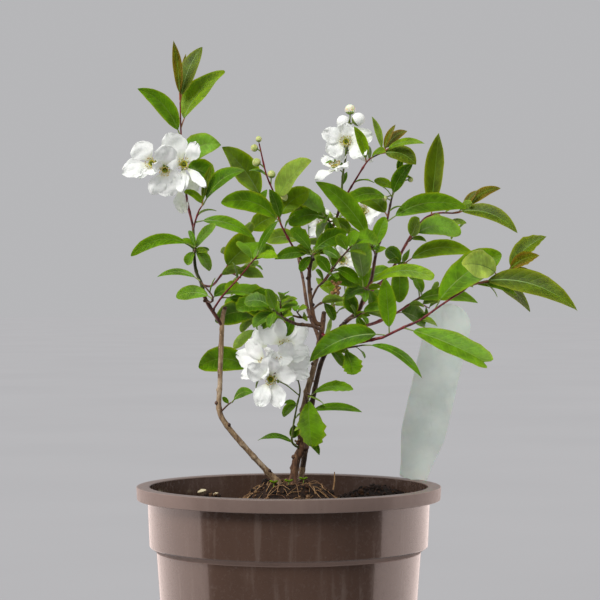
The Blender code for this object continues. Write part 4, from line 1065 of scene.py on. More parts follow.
def place_on(path, distance):
    """The point this far along the path, and the heading there."""
    for start, end in zip(path, path[1:]):
        step = (end - start).length
        if distance <= step:
            return start.lerp(end, distance / step), (end - start).normalized()
        distance -= step
    return path[-1].copy(), (path[-1] - path[-2]).normalized()


def share_on(path, share):
    """The point at a share of the path, and the heading there."""
    return place_on(path, share * length_of(path))


def ring_round(centre, heading, radius, sides):
    """Corners of a section across the heading, its first corner to the right."""
    right = Vector((1, 0, 0)) - heading * heading.x
    if right.length < LEAST_ACROSS:
        right = Vector((0, 1, 0)) - heading * heading.y
    right.normalize()
    ahead = heading.cross(right)
    turns = [math.tau * side / sides for side in range(sides)]
    return [centre + (right * math.cos(turn) + ahead * math.sin(turn)) * radius for turn in turns]


def skin(rings, tip=None):
    """Points and faces of a closed solid over rings of equal size, with a flat start, and a tip if given."""
    sides = len(rings[0])
    points = [point for ring in rings for point in ring]
    faces = [tuple(reversed(range(sides)))]
    for first in range(0, sides * (len(rings) - 1), sides):
        for side in range(sides):
            beside = (side + 1) % sides
            faces.append((first + side, first + beside, first + sides + beside, first + sides + side))
    last = sides * (len(rings) - 1)
    if tip is None:
        faces.append(tuple(range(last, last + sides)))
    else:
        points.append(tip)
        faces += [(last + side, last + (side + 1) % sides, len(points) - 1) for side in range(sides)]
    return points, faces


def tube(path, radii, sides, swell=None):
    """A tapering tube along the path. Each section is turned as little as can be from the one before."""
    heading = (path[1] - path[0]).normalized()
    spokes = [corner - path[0] for corner in ring_round(path[0], heading, 1, sides)]
    rings = []
    for number, (centre, radius) in enumerate(zip(path, radii)):
        before = path[max(number - 1, 0)]
        after = path[min(number + 1, len(path) - 1)]
        turn = heading.rotation_difference((after - before).normalized())
        heading = (after - before).normalized()
        spokes = [turn @ spoke for spoke in spokes]
        swells = [swell(number, side) for side in range(sides)] if swell else [1] * sides
        rings.append([centre + spoke * radius * share for spoke, share in zip(spokes, swells)])
    return skin(rings)


def tree_of(shape):
    return BVHTree.FromPolygons(*shape)


def clear_start(path, tree, radius, sides):
    """How far along the path a section of this radius is a gap away from what the path grows on."""
    steps = int(START_SEARCH / START_STEP)
    for number in range(steps, -1, -1):
        centre, heading = place_on(path, number * START_STEP)
        corners = ring_round(centre, heading, radius, sides)
        if min(tree.find_nearest(corner)[3] for corner in corners) < GAP:
            return (number + 1) * START_STEP
    return 0


def cut_start(path, radii, distance):
    """The path and its radii without this much of their start."""
    start, _ = place_on(path, distance)
    while len(path) > 2 and distance > 0:
        step = (path[1] - path[0]).length
        if distance < step:
            break
        distance -= step
        path = path[1:]
        radii = radii[1:]
    return [start, *path[1:]], radii


# Limbs by the rule

def limb_run(name, limbs, step):
    """A limb's path from its root on its parent, with its radius at each point."""
    parent, share, points = LIMBS[name]
    places = [seen(*point[:3]) for point in points]
    thick = [point[3] for point in points]
    if parent:
        places.insert(0, share_on(limbs[parent]["path"], share)[0])
        thick.insert(0, thick[0])
    path = smooth_path(places, step)
    radii = []
    for start, end, a, b in zip(thick, thick[1:], places, places[1:]):
        count = max(1, round((b - a).length / step))
        radii += [(start + (end - start) * number / count) / 2 for number in range(count)]
    radii.append(thick[-1] / 2)
    return path, radii


def grow_limb(name, limbs):
    """A limb's plain path, shape and search tree."""
    path, radii = limb_run(name, limbs, LIMB_STEP)
    parent = LIMBS[name][0]
    if parent:
        start = clear_start(path, limbs[parent]["tree"], radii[0], LIMB_SIDES)
        path, radii = cut_start(path, radii, start)
    points, faces = tube(path, radii, LIMB_SIDES)
    if not parent:
        for point in points[:LIMB_SIDES]:
            point.z = STEM_FOOT
    return {"path": path, "tree": tree_of((points, faces))}


# Plain leaves, which find their places

def leaf_axes(heading, lean, tilt):
    """A leaf's direction and the way that its upper side faces, from its heading as seen from the front."""
    turn = math.radians(heading)
    deep = math.radians(lean)
    along = Vector((math.sin(turn) * math.cos(deep), math.sin(deep), math.cos(turn) * math.cos(deep)))
    facing = Vector((0, -FACE_FRONT, 1 - FACE_FRONT))
    facing = (facing - along * facing.dot(along)).normalized()
    return along, Matrix.Rotation(math.radians(tilt), 3, along) @ facing


def keeled_ring(middle, side, up):
    """The three corners of a plain blade's section: its two edges and the keel under its midrib."""
    return [middle + side + up * EDGE_RISE, middle - side + up * EDGE_RISE, middle - up * KEEL_DEPTH]


def midline(leaf):
    """A function that gives the point at a share of the leaf's length, along its arch."""
    base, along, _, length, _, arch = leaf
    lift = Vector((0, 0, 1)) - along * along.z
    rise = lift * length * arch * 4
    return lambda share: base + along * length * share + rise * share * (1 - share)


def blade(leaf, swell=0.0, start=0.0):
    """A plain arching blade with a keel, which ends in a point."""
    _, along, facing, length, width, _ = leaf
    thick = max(LEAST_THICKNESS, LEAF_THICKNESS * length) / 2 + swell
    centre = midline(leaf)
    stalk = STALK_SHARE if length > SMALL_LEAF else 0
    stations = LEAF_STATIONS if length > SMALL_LEAF else SMALL_LEAF_STATIONS
    shares = [(start, 0)]
    if stalk > start:
        shares.append((stalk, 0))
    shares += [(stalk + (1 - stalk) * share, half) for share, half in stations]
    rings = []
    for share, half in shares:
        heading = (centre(share + SLOPE_STEP) - centre(share)).normalized()
        side = facing.cross(heading).normalized()
        up = heading.cross(side)
        half_width = max(width * half, STALK_RADIUS) + swell
        rings.append(keeled_ring(centre(share), side * half_width, up * thick))
    return skin(rings, centre(1) + along * swell)


def swollen_tree(leaf, start=0.0):
    """The search tree of a leaf that is swollen by its clearance, to find what it would touch."""
    return tree_of(blade(leaf, LEAF_CLEARANCE, start))


def in_reach(point, stem_path, reach):
    return min((point - place).length for place in stem_path) <= reach


def fit_leaf(mass, base, axes_of, look, arch=LEAF_ARCH):
    """Keeps the leaf at the first turn that is clear of its neighbours, or skips it."""
    spare = None
    for turn in TURNS:
        along, facing, true_length, true_width = axes_of(turn)
        if not in_reach(base + along * true_length, mass["path"], mass["reach"] * REACH_SPARE):
            continue
        leaf = (base, along, facing, true_length, true_width, arch)
        tree = swollen_tree(leaf)
        if any(tree.overlap(other) for other in mass["others"]):
            continue
        tree = swollen_tree(leaf, ROOT_SHARE)
        if any(tree.overlap(own) for own in mass["trees"]):
            spare = spare or leaf
            continue
        spare = leaf
        break
    if spare:
        mass["trees"].append(tree_of(blade(spare)))
        mass["leaves"].append((spare, *look))


def front_leaf(mass, share, heading, length, width, colour, form, lean=None, arch=LEAF_ARCH):
    """A leaf placed by how it shows from the front: without a lean of its own it has a seeded one."""
    base, _ = share_on(mass["path"], share)
    chance = mass["chance"]
    seeded_lean = chance.uniform(LEAST_LEAN, MOST_LEAN) * chance.choice((-1, 1))
    first_lean = seeded_lean if lean is None else lean
    tilt = chance.uniform(-MOST_LEAN, MOST_LEAN)

    def axes_of(turn):
        deep = min(max(first_lean + turn, -STEEPEST), STEEPEST)
        along, facing = leaf_axes(heading, deep, tilt + turn)
        true_length = length / math.cos(math.radians(deep))
        return along, facing, true_length, width / max(LEAST_FACING, abs(facing.y))

    fit_leaf(mass, base, axes_of, (colour, form), arch)


def spiral_leaf(mass, path, number, share, length):
    """A small leaf by the spiral rule: each stands 144 degrees round the stem from the one before."""
    base, heading = share_on(path, share)
    chance = mass["chance"]
    start = chance.uniform(-SPIRAL_PLAY, SPIRAL_PLAY)
    true_length = length * chance.uniform(*SMALL_LENGTH_SPREAD)

    def axes_of(turn):
        spoke = ring_round(Vector(), heading, 1, 4)[0]
        spoke = Matrix.Rotation(math.radians(number * SPIRAL + start + turn), 3, heading) @ spoke
        spread = math.radians(SPREAD)
        along = heading * math.cos(spread) + spoke * math.sin(spread)
        facing = (heading - along * heading.dot(along)).normalized()
        return along, facing, true_length, true_length * SMALL_LEAF_WIDTH

    colour = SMALL_LEAF_COLOURS[number % len(SMALL_LEAF_COLOURS)]
    form = SMALL_LEAF_FORMS[number % len(SMALL_LEAF_FORMS)]
    fit_leaf(mass, base, axes_of, (colour, form))


# Plain flowers, buds and twigs, which find their places

def petal(centre, facing, along):
    side = facing.cross(along)
    rings = []
    for share, half in ((PETAL_ROOT, PETAL_ROOT_HALF), *PETAL_STATIONS):
        middle = centre + along * PETAL_LENGTH * share
        rings.append(keeled_ring(middle, side * PETAL_WIDTH * half, facing * PETAL_THICKNESS / 2))
    return skin(rings, centre + along * PETAL_LENGTH)


def scaled(shape, centre, scale):
    points, faces = shape
    return [centre + (point - centre) * scale for point in points], faces


def add_pedicel(mass, base, end):
    """A thin stalk from the stem to a flower or bud, bowed a little upwards."""
    middle = (base + end) / 2 + Vector((0, 0, PEDICEL_BOW * (end - base).length))
    mass["trees"].append(tree_of(tube([base, middle, end], [PEDICEL_RADIUS] * 3, TWIG_SIDES)))
    mass["pedicels"].append([base, middle, end])


def add_flower(mass, share, across, depth, height, facing, size, heading):
    """A flower on its stalk: petals round a disc, the first at this heading clockwise from up."""
    base, _ = share_on(mass["path"], share)
    centre = base + Vector((across, depth, height))
    facing = Vector(facing).normalized()
    add_pedicel(mass, base, centre - facing * DISC_DEPTH * PEDICEL_SINK)
    ends = [centre - facing * DISC_DEPTH, centre + facing * DISC_FRONT]
    mass["trees"].append(tree_of(tube(ends, [DISC_RADIUS * DISC_FOOT, DISC_RADIUS], PETALS)))
    spoke = ring_round(Vector(), facing, 1, 4)[0]
    petals = []
    for number in range(PETALS):
        turn = Matrix.Rotation(math.radians(90 - heading - number * 360 / PETALS), 3, facing)
        out = turn @ spoke
        cup = Matrix.Rotation(math.radians(-PETAL_CUP), 3, facing.cross(out))
        tree = tree_of(scaled(petal(centre, cup @ facing, cup @ out), centre, size))
        if any(tree.overlap(other) for other in mass["others"]):
            continue
        mass["trees"].append(tree)
        petals.append((cup @ facing, cup @ out))
    mass["flowers"].append((centre, facing, size, petals))


def add_bud(mass, share, across, height, thick):
    """A round bud on its stalk."""
    base, _ = share_on(mass["path"], share)
    centre = base + Vector((across, -abs(across) * BUD_FORWARD, height))
    if (centre - base).length > thick / 2:
        add_pedicel(mass, base, centre)
    radius = thick / 2
    path = [centre + Vector((0, 0, radius * level)) for level in BUD_LEVELS]
    radii = [radius * math.sqrt(1 - level**2) for level in BUD_LEVELS]
    mass["trees"].append(tree_of(tube(path, radii, BUD_SIDES)))
    mass["buds"].append((centre, (centre - base), thick))


def add_twig(mass, number, count):
    """A side twig by the spiral rule, with three small leaves, if it clears its neighbours."""
    chance = mass["chance"]
    base, heading = share_on(mass["path"], TWIG_FROM + TWIG_SPAN * number / count)
    spoke = ring_round(Vector(), heading, 1, 4)[0]
    spoke = Matrix.Rotation(math.radians(TWIG_TURN + number * SPIRAL), 3, heading) @ spoke
    length = chance.uniform(*TWIG_REACH) * mass["reach"]
    end = base + (heading + spoke) * TWIG_SPREAD * length
    path = smooth_path([base, (base + end) / 2 + heading * TWIG_BOW, end], TWIG_STEP)
    swollen = tree_of(tube(path, [TWIG_TIP_RADIUS + LEAF_CLEARANCE] * len(path), TWIG_SIDES))
    if any(swollen.overlap(other) for other in mass["others"]):
        return
    mass["trees"].append(tree_of(tube(path, [TWIG_TIP_RADIUS] * len(path), TWIG_SIDES)))
    mass["twigs"].append(path)
    for leaf, share in enumerate(TWIG_LEAVES):
        spiral_leaf(mass, path, leaf, share, mass["small_length"])


def start_mass(name, limbs):
    """A mass with its stem, which starts a gap off its limb."""
    plan = MASSES[name]
    parent, share = plan["on"]
    root, _ = share_on(limbs[parent]["path"], share)
    places = [root, *(seen(*point) for point in plan["stem"])]
    path = smooth_path(places, TWIG_STEP)
    radii = [
        plan["thick"] / 2 + (TWIG_TIP_RADIUS - plan["thick"] / 2) * number / (len(path) - 1)
        for number in range(len(path))
    ]
    start = clear_start(path, limbs[parent]["tree"], radii[0], TWIG_SIDES)
    path, radii = cut_start(path, radii, start)
    return {
        "name": name, "places": places, "path": path, "reach": plan["reach"], "thick": plan["thick"],
        "chance": random.Random(name), "others": [], "trees": [tree_of(tube(path, radii, TWIG_SIDES))],
        "small_length": plan.get("small_length", SMALL_LENGTH), "leaves": [], "flowers": [], "buds": [],
        "twigs": [], "pedicels": [],
    }


def fill_mass(mass, plan):
    """Finds the places of the mass's flowers and buds, the leaves that show, then twigs and small leaves."""
    for flower in plan.get("flowers", ()):
        add_flower(mass, *flower)
    for bud in plan.get("buds", ()):
        add_bud(mass, *bud)
    for leaf in plan["leaves"]:
        front_leaf(mass, *leaf)
    twigs = plan.get("twigs", 0)
    for number in range(twigs):
        add_twig(mass, number, twigs)
    for number in range(plan["small"]):
        share = SPIRAL_FROM + SPIRAL_SPAN * (number + 0.5) / plan["small"]
        spiral_leaf(mass, mass["path"], number, share, mass["small_length"])


def label_outline():
    """The label's outline, from the tongue that stands in the rim's slot to its round top."""
    narrow = LABEL_SHOULDER_WIDTH / 2
    wide = LABEL_WIDTH / 2
    tongue = TONGUE_WIDTH / 2
    outline = [(-tongue, -TONGUE_LENGTH), (tongue, -TONGUE_LENGTH), (tongue, 0), (narrow, 0)]
    outline.append((wide, LABEL_NARROWS_AT))
    round_top = LABEL_LENGTH - wide
    for number in range(LABEL_ARC_STEPS + 1):
        turn = math.pi * number / LABEL_ARC_STEPS
        outline.append((wide * math.cos(turn), round_top + wide * math.sin(turn)))
    outline += [(-wide, LABEL_NARROWS_AT), (-narrow, 0), (-tongue, 0)]
    return outline


def label_point(across, depth, height):
    """A point of the label: its tongue stands upright in the slot, and the rest leans."""
    point = Vector((across, 0, height))
    if height > 0:
        point = Matrix.Rotation(math.radians(LABEL_LEAN), 3, "Y") @ point
    return Vector((*LABEL_PLACE, POT_HEIGHT + GAP)) + point + Vector((0, depth, 0))


def plain_label():
    """The label's plain shape, which leaves keep clear of."""
    half = LABEL_THICKNESS / 2
    return skin([[label_point(x, depth, height) for x, height in label_outline()] for depth in (half, -half)])


def grow_plant():
    """All limbs and masses, with the places of their leaves, flowers, buds and twigs."""
    limbs = {}
    for name in LIMBS:
        limbs[name] = grow_limb(name, limbs)
    masses = {name: start_mass(name, limbs) for name in MASSES}
    label_tree = tree_of(plain_label())
    for name, mass in masses.items():
        mass["others"] = [label_tree, *(limb["tree"] for limb in limbs.values())]
        mass["others"] += [tree for other in masses.values() if other is not mass for tree in other["trees"]]
        fill_mass(mass, MASSES[name])
    return limbs, masses


# Gathering shapes into pieces

def row_share(row, rows):
    """How far along a lens a row lies: the rows draw together at both ends."""
    return (1 - math.cos(math.pi * row / rows)) / 2


def lens(rows, marks, place):
    """A thin closed shape: an upper and a lower skin that share their margin and both ends.

    place gives, for a row and a mark across, a point of the middle layer and the offset of the skins from it.
    The sides say of each face whether it is an upper one, and its column.
    """
    columns = len(marks)
    centre = marks[columns // 2]
    points = [place(0, centre)[0]]
    upper = {}
    lower = {}
    for row in range(1, rows):
        under = []
        for column, mark in enumerate(marks):
            middle, offset = place(row, mark)
            upper[row, column] = lower[row, column] = len(points)
            if 0 < column < columns - 1:
                points.append(middle + offset)
                under.append((column, middle - offset))
            else:
                points.append(middle)
        for column, point in under:
            lower[row, column] = len(points)
            points.append(point)
    end = len(points)
    points.append(place(rows, centre)[0])
    faces = []
    sides = []
    last = rows - 1
    for column in range(columns - 1):
        beside = column + 1
        faces += [(0, upper[1, column], upper[1, beside]), (0, lower[1, beside], lower[1, column])]
        for row in range(1, last):
            after = row + 1
            faces.append((upper[row, column], upper[after, column], upper[after, beside], upper[row, beside]))
            faces.append((lower[row, column], lower[row, beside], lower[after, beside], lower[after, column]))
        faces.append((upper[last, column], end, upper[last, beside]))
        faces.append((lower[last, column], lower[last, beside], end))
        sides += [(True, column), (False, column)] * rows
    return (points, faces), sides


def lens_spots(rows, marks):
    """The UV places of a lens's points, in the order in which lens makes them."""
    across = [(mark + 1) / 2 for mark in marks]
    centre = across[len(marks) // 2]
    inner = [(row_share(row, rows), spot) for row in range(1, rows) for spot in across + across[1:-1]]
    return [(0, centre), *inner, (1, centre)]


def linked(name, points, faces):
    """A new mesh object in the scene."""
    mesh = bpy.data.meshes.new(name)
    mesh.from_pydata(points, [], faces)
    piece = bpy.data.objects.new(name, mesh)
    bpy.context.scene.collection.objects.link(piece)
    return piece


class Gather:
    """Things of one kind, gathered into one mesh: a finish for each face, a UV place for each point."""

    def __init__(self):
        self.points = []
        self.faces = []
        self.finishes = []
        self.spots = []

    def add(self, shape, finish, spots=None):
        points, faces = shape
        first = len(self.points)
        self.points += points
        self.faces += [tuple(first + corner for corner in face) for face in faces]
        self.finishes += [finish] * len(faces) if isinstance(finish, str) else finish
        self.spots += spots or [(0.5, 0.5)] * len(points)

    def build(self, name, slot, *nodes):
        """The piece: it rides on the plant's one body and stands for the nodes."""
        piece = linked(name, [point * MM for point in self.points], self.faces)
        mesh = piece.data
        names = sorted(set(self.finishes))
        for finish in names:
            mesh.materials.append(bpy.data.materials[finish])
        mesh.polygons.foreach_set("material_index", [names.index(finish) for finish in self.finishes])
        layer = mesh.uv_layers.new(name="UVMap")
        places = [value for face in self.faces for corner in face for value in self.spots[corner]]
        layer.data.foreach_set("uv", places)
        mesh.shade_smooth()
        mesh.set_sharp_from_angle(angle=math.radians(SHARP_EDGE))
        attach(piece, "root")
        if nodes:
            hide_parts(*nodes)
        return piece


def bead(centre, radius, axis, rings, sides):
    """A small round grain, drawn out along an axis."""
    levels = [-math.cos(math.pi * (number + 0.5) / rings) for number in range(rings)]
    heading = axis.normalized()
    shape = []
    for level in levels:
        thick = radius * math.sqrt(1 - level**2)
        shape.append(ring_round(centre + axis * level, heading, thick, sides))
    return skin(shape)


def smooth_step(low, high, value):
    share = min(max((value - low) / (high - low), 0), 1)
    return share * share * (3 - 2 * share)


# Leaves

def outline(share, rise, fall):
    """The half width at a share of the blade, as a share of the widest."""
    widest = rise / (rise + fall)
    return (share / widest) ** rise * ((1 - share) / (1 - widest)) ** fall


def dress_leaf(blades, stalks, leaf, colour, form, looks):
    """A finished leaf where the plain one lies: its blade folds along the midrib and waves at its margin."""
    base, _, facing, length, width, _ = leaf
    rise, fall, tooth, teeth_from, notch = FORMS[form]
    big = length > SMALL_LEAF
    rows = LEAF_ROWS if big else SMALL_LEAF_ROWS
    stalk = STALK_SHARE if big else SHORT_STALK
    centre = midline(leaf)
    fold = math.tan(math.radians(looks.uniform(*FOLD)))
    twist = math.radians(looks.uniform(-TWIST, TWIST))
    waves = looks.uniform(*WAVES)
    phase = looks.uniform(0, math.tau)
    wave = width * looks.uniform(*WAVE_HEIGHT)
    droop = length * looks.uniform(*DROOP)
    bend = width * looks.uniform(-BEND, BEND)
    seed = looks.uniform(0, 99)

    def half_width(row, share, across):
        """Half the blade's width, with its teeth and the play of its margin."""
        half = OUTLINE_WIDTH * width * outline(share, rise, fall) if 0 < row < rows else 0
        if row % 2 and abs(across) == 1:
            half *= 1 + tooth * smooth_step(teeth_from, teeth_from + TEETH_FADE, share)
        beat = Vector((share * MARGIN_BEATS, math.copysign(MARGIN_LEVEL, across), seed))
        return half * (1 + MARGIN_PLAY * noise.noise(beat))

    def place(row, across):
        share = row_share(row, rows)
        half = half_width(row, share, across)
        on_rib = abs(across) < RIB_COLUMN
        aside = across * half
        if on_rib:
            rib = (RIB_WIDTH + RIB_SHARE * width) * (RIB_TAPER - share) / 2
            aside = math.copysign(min(rib, half * RIB_MOST), across)
        ahead = share - notch * (1 - abs(across)) ** 2 * share**NOTCH_POWER
        along_share = stalk + (1 - stalk) * ahead
        point = centre(along_share)
        heading = (centre(along_share + SLOPE_STEP) - point).normalized()
        side = Matrix.Rotation(twist * share, 3, heading) @ facing.cross(heading).normalized()
        up = heading.cross(side)
        lift = abs(aside) * fold
        lift += wave * math.sin(math.tau * waves * share + phase) * across * abs(across) * (half > 0)
        point = point + side * (aside + bend * math.sin(math.pi * share)) + up * lift
        point.z -= droop * share**DROOP_POWER
        swell = RIB_SWELL if on_rib else 0
        return point, up * (BLADE_THICKNESS / 2 * (1 - MARGIN_THIN * abs(across)) + swell * (1 - share))

    shape, sides = lens(rows, LEAF_COLUMNS, place)
    rib_column = len(LEAF_COLUMNS) // 2 - 1
    finishes = []
    for upper, column in sides:
        finishes.append(("midrib" if column == rib_column else f"leaf_{colour}") if upper else "leaf_under")
    blades.add(shape, finishes, lens_spots(rows, LEAF_COLUMNS))
    path = [base, centre(stalk / 2), centre(stalk), centre(stalk + STALK_IN_BLADE) - facing * STALK_BEHIND]
    radii = [STALK_THICK * share for share in STALK_TAPER]
    stalks.add(tube(path, radii, STALK_SIDES), "petiole_red" if colour in WARM_TONES else "petiole_green")


# Twigs and bark

def distances_on(path):
    """How far along the path each of its points lies."""
    distances = [0]
    for start, end in zip(path, path[1:]):
        distances.append(distances[-1] + (end - start).length)
    return distances


def dress_twigs(twigs, mass, looks):
    """The mass's stem and side twigs, rooted on their limb, with swollen nodes spaced along them."""
    colour = SHOOT_COLOURS.get(mass["name"], "shoot_brown")
    shoots = [(mass["places"], mass["thick"] / 2, STEM_TIP_RADIUS)]
    shoots += [(places, *TWIG_RADII) for places in mass["twigs"]]
    for places, first, last in shoots:
        path = smooth_path(places, SHOOT_STEP)
        distances = distances_on(path)
        whole = distances[-1]
        nodes = [number * looks.uniform(*NODE_SPACE) for number in range(1, int(whole / NODE_SPACE[0]) + 1)]
        radii = []
        for distance in distances:
            swell = sum(math.exp(-(((distance - node) / NODE_LENGTH) ** 2)) for node in nodes)
            radii.append((first + (last - first) * (distance / whole)) * (1 + NODE_SWELL * swell))
        radii[-1] *= TIP_PINCH
        twigs.add(tube(path, radii, SHOOT_SIDES), colour)
    for places in mass["pedicels"]:
        path = smooth_path(places, SHOOT_STEP)
        twigs.add(tube(path, [FINE_PEDICEL_RADIUS] * len(path), SHOOT_SIDES), "petiole_green")


def dress_limb(name, limbs):
    """A limb under its bark: furrows along it, leaf scars round it, winter buds, and knots of old twigs."""
    looks = random.Random(name + " bark")
    path, radii = limb_run(name, limbs, BARK_STEP)
    if LIMBS[name][0] is None:
        path.insert(0, path[0] - Vector((0, 0, FOOT_DEPTH)))
        radii.insert(0, radii[0] * FOOT_FLARE)
    distances = distances_on(path)
    scars = []
    scar = looks.uniform(*NODE_SPACE)
    while scar < distances[-1]:
        scars.append((scar, looks.uniform(0, math.tau), looks.uniform(*SCAR_SIZES)))
        scar += looks.uniform(*NODE_SPACE)
    seed = Vector([looks.uniform(0, 99) for _ in range(3)])

    def swell(number, side):
        turn = math.tau * side / BARK_SIDES
        distance = distances[number]
        across = Vector((math.cos(turn), math.sin(turn), 0)) * FURROW_TURNS
        furrow = noise.noise(seed + across + Vector((0, 0, distance / FURROW_LENGTH)))
        rough = noise.noise(seed + across * ROUGH_TURNS + Vector((0, 0, distance / ROUGH_LENGTH)))
        relief = 1 + FURROW_DEPTH * furrow + ROUGH_DEPTH * rough
        for place, towards, size in scars:
            near = (distance - place) / SCAR_LENGTH
            if abs(near) < SCAR_REACH:
                facing = 0.5 + 0.5 * math.cos(turn - towards)
                relief += size * math.exp(-(near**2)) * (SCAR_RING + SCAR_KNOT * facing**SCAR_POINT)
        return relief

    bark = Gather()
    shape = tube(path, radii, BARK_SIDES, swell)
    round_share = [side / BARK_SIDES for side in range(BARK_SIDES)]
    spots = [(share, distance / BARK_MAP_LENGTH) for distance in distances for share in round_share]
    finishes = [BARK_COLOURS.get(name, "bark_brown")] * len(shape[1])
    for share, upper in BARK_CHANGES.get(name, ()):
        change = 1 + BARK_SIDES * int(len(path) * share)
        finishes[change:] = [upper] * (len(finishes) - change)
    bark.add(shape, finishes, spots)
    for *place, size in WINTER_BUDS if name == "trunk" else ():
        bark.add(bead(Vector(place), size, Vector(WINTER_BUD_WAY) * size, *WINTER_BUD_GRAIN), "winter_bud")
    for height, side, size in KNOTS.get(name, ()):
        near = min(range(len(path)), key=lambda number: abs(path[number].z - height))
        spot = path[near] + Vector((side, KNOT_FRONT, 0)) * radii[near] * KNOT_SINK
        way = Vector((side * KNOT_ASIDE + KNOT_WAY[0], *KNOT_WAY[1:]))
        bark.add(bead(spot, size, way * size, *KNOT_GRAIN), "knot")
    return bark


# Flowers

def dress_petal(petals, centre, facing, along, length, width, looks, finish="petal"):
    """One petal: narrow at its claw, broad and round beyond, notched at its tip, with a soft wave."""
    side = facing.cross(along)
    wave = looks.uniform(*PETAL_WAVE)
    ruffle = looks.uniform(*PETAL_RUFFLE)
    phase = looks.uniform(0, math.tau)
    seed = looks.uniform(0, 99)
    curl = looks.uniform(*PETAL_CURL) * length
    notch = looks.uniform(*PETAL_NOTCH)
    notch_side = looks.uniform(-NOTCH_ASIDE, NOTCH_ASIDE)
    lean = looks.uniform(-PETAL_LEAN, PETAL_LEAN)

    def half_width(row, share, across):
        """Half the petal's width, with the small tears of its margin."""
        if row in (0, PETAL_ROWS):
            return 0
        half = width / 2 * (CLAW_WIDTH + (1 - CLAW_WIDTH) * smooth_step(*CLAW_OPENS, share))
        half *= (1 - share**TIP_ROUNDING) ** 0.5
        for beats, level in TEAR_BEATS:
            half *= 1 + PETAL_TEAR * noise.noise(Vector((share * beats, math.copysign(level, across), seed)))
        return half

    def rise_at(share, across):
        """The wave, ruffles and curl at a place on the petal."""
        swing = math.sin(math.tau * WAVE_BEATS * share + phase + across * WAVE_SLANT)
        ruffles = noise.noise(Vector((across * RUFFLE_BEATS[0], share * RUFFLE_BEATS[1], seed)))
        rise = wave * swing * share * (WAVE_MIDDLE + abs(across))
        rise += ruffle * ruffles * 2 * smooth_step(*RUFFLE_OPENS, share)
        return rise + curl * (share**2 - CURL_BACK * share)

    def place(row, across):
        share = row_share(row, PETAL_ROWS)
        half = half_width(row, share, across)
        nick = max(0, 1 - abs(across - notch_side) * NOTCH_SLOPE)
        tear = PETAL_TEAR * noise.noise(Vector((across * TIP_TEAR_BEATS, seed, TIP_TEAR_LEVEL)))
        ahead = PETAL_ROOT + (1 - PETAL_ROOT) * (share - (notch * nick - tear) * share**TIP_POWER)
        rise = rise_at(share, across) + PETAL_DISH * half * across**2
        rise -= PETAL_SINK * (1 - smooth_step(0, PETAL_SINK_END, share))
        point = centre + along * length * ahead + side * (across * half + lean * length * share**2)
        return point + facing * rise, facing * PETAL_HALF_THICK * (1 - 0.5 * abs(across))

    shape, _ = lens(PETAL_ROWS, PETAL_COLUMNS, place)
    petals.add(shape, finish, lens_spots(PETAL_ROWS, PETAL_COLUMNS))


def petal_places(flower, plan, looks):
    """The way that each petal faces, its direction, length and width: planned, or by the rule."""
    _, facing, size, ways = flower
    if plan is None:
        return [
            (*way, PETAL_LENGTH * size * looks.uniform(*PETAL_LENGTHS),
             PETAL_WIDTH * size * looks.uniform(*PETAL_WIDTHS))
            for way in ways
        ]
    places = []
    for heading, length, width in plan:
        turn = math.radians(heading)
        out = Vector((math.sin(turn), 0, math.cos(turn)))
        out.y = -out.dot(facing) / facing.y
        stretch = min(out.length, PETAL_STRETCH)
        out.normalize()
        cup = Matrix.Rotation(math.radians(-looks.uniform(*PETAL_CUPS)), 3, facing.cross(out))
        places.append((cup @ facing, cup @ out, length * stretch, width))
    return places


def step_tube(origin, up, out, steps):
    """A small tube by steps of height, way out and radius."""
    path = [origin + up * height + out * away for height, away, _ in steps]
    return tube(path, [radius for _, _, radius in steps], FINE_SIDES)


def dress_flower(parts, flower, plan, looks):
    """A pearlbush flower: petals, the greenish cup and its dark middle, styles and stamens."""
    centre, facing, size, _ = flower
    for number, (petal_facing, *petal_size) in enumerate(petal_places(flower, plan, looks)):
        dress_petal(parts["petals"], centre - facing * PETAL_STEP * number, petal_facing, *petal_size, looks)
    radius = DISC_RADIUS * size
    steps = [CUP_FOOT, *((height, radius * share) for height, share in CUP_STEPS)]
    shape = skin([ring_round(centre + facing * height, facing, thick, CUP_SIDES) for height, thick in steps])
    green = 1 + CUP_SIDES * CUP_GREEN_RINGS
    yellow = CUP_SIDES * CUP_YELLOW_RINGS
    parts["centres"].add(shape, ["sepal"] * green + ["flower_cup"] * yellow + ["flower_eye"])
    across, ahead = ring_round(Vector(), facing, 1, 4)[:2]

    def way_out(number, count, play=0.0):
        turn = math.tau * number / count
        if play:
            turn += looks.uniform(-play, play)
        return across * math.cos(turn) + ahead * math.sin(turn)

    for number in range(STYLES):
        out = way_out(number, STYLES, STYLE_PLAY)
        parts["centres"].add(step_tube(centre, facing, out, STYLE), "style")
    for number in range(STAMENS):
        out = way_out(number, STAMENS, STAMEN_PLAY)
        foot = centre + out * radius * STAMEN_ROOT + facing * STAMEN_FOOT
        reach = looks.uniform(*STAMEN_REACH)
        tip = foot + facing * looks.uniform(*STAMEN_RISE) + out * reach
        middle = foot.lerp(tip, 0.5) + out * reach * STAMEN_BOW + facing * STAMEN_LIFT
        parts["stamens"].add(tube([foot, middle, tip], STAMEN_RADII, STAMEN_SIDES), "filament")
        parts["stamens"].add(bead(tip, ANTHER_RADIUS, facing * ANTHER_LENGTH, *ANTHER_GRAIN), "anther")
    for number in range(PETALS):
        out = way_out(number + 0.5, PETALS)
        parts["centres"].add(step_tube(centre + out * radius * SEPAL_ROOT, facing, out, SEPAL), "sepal")


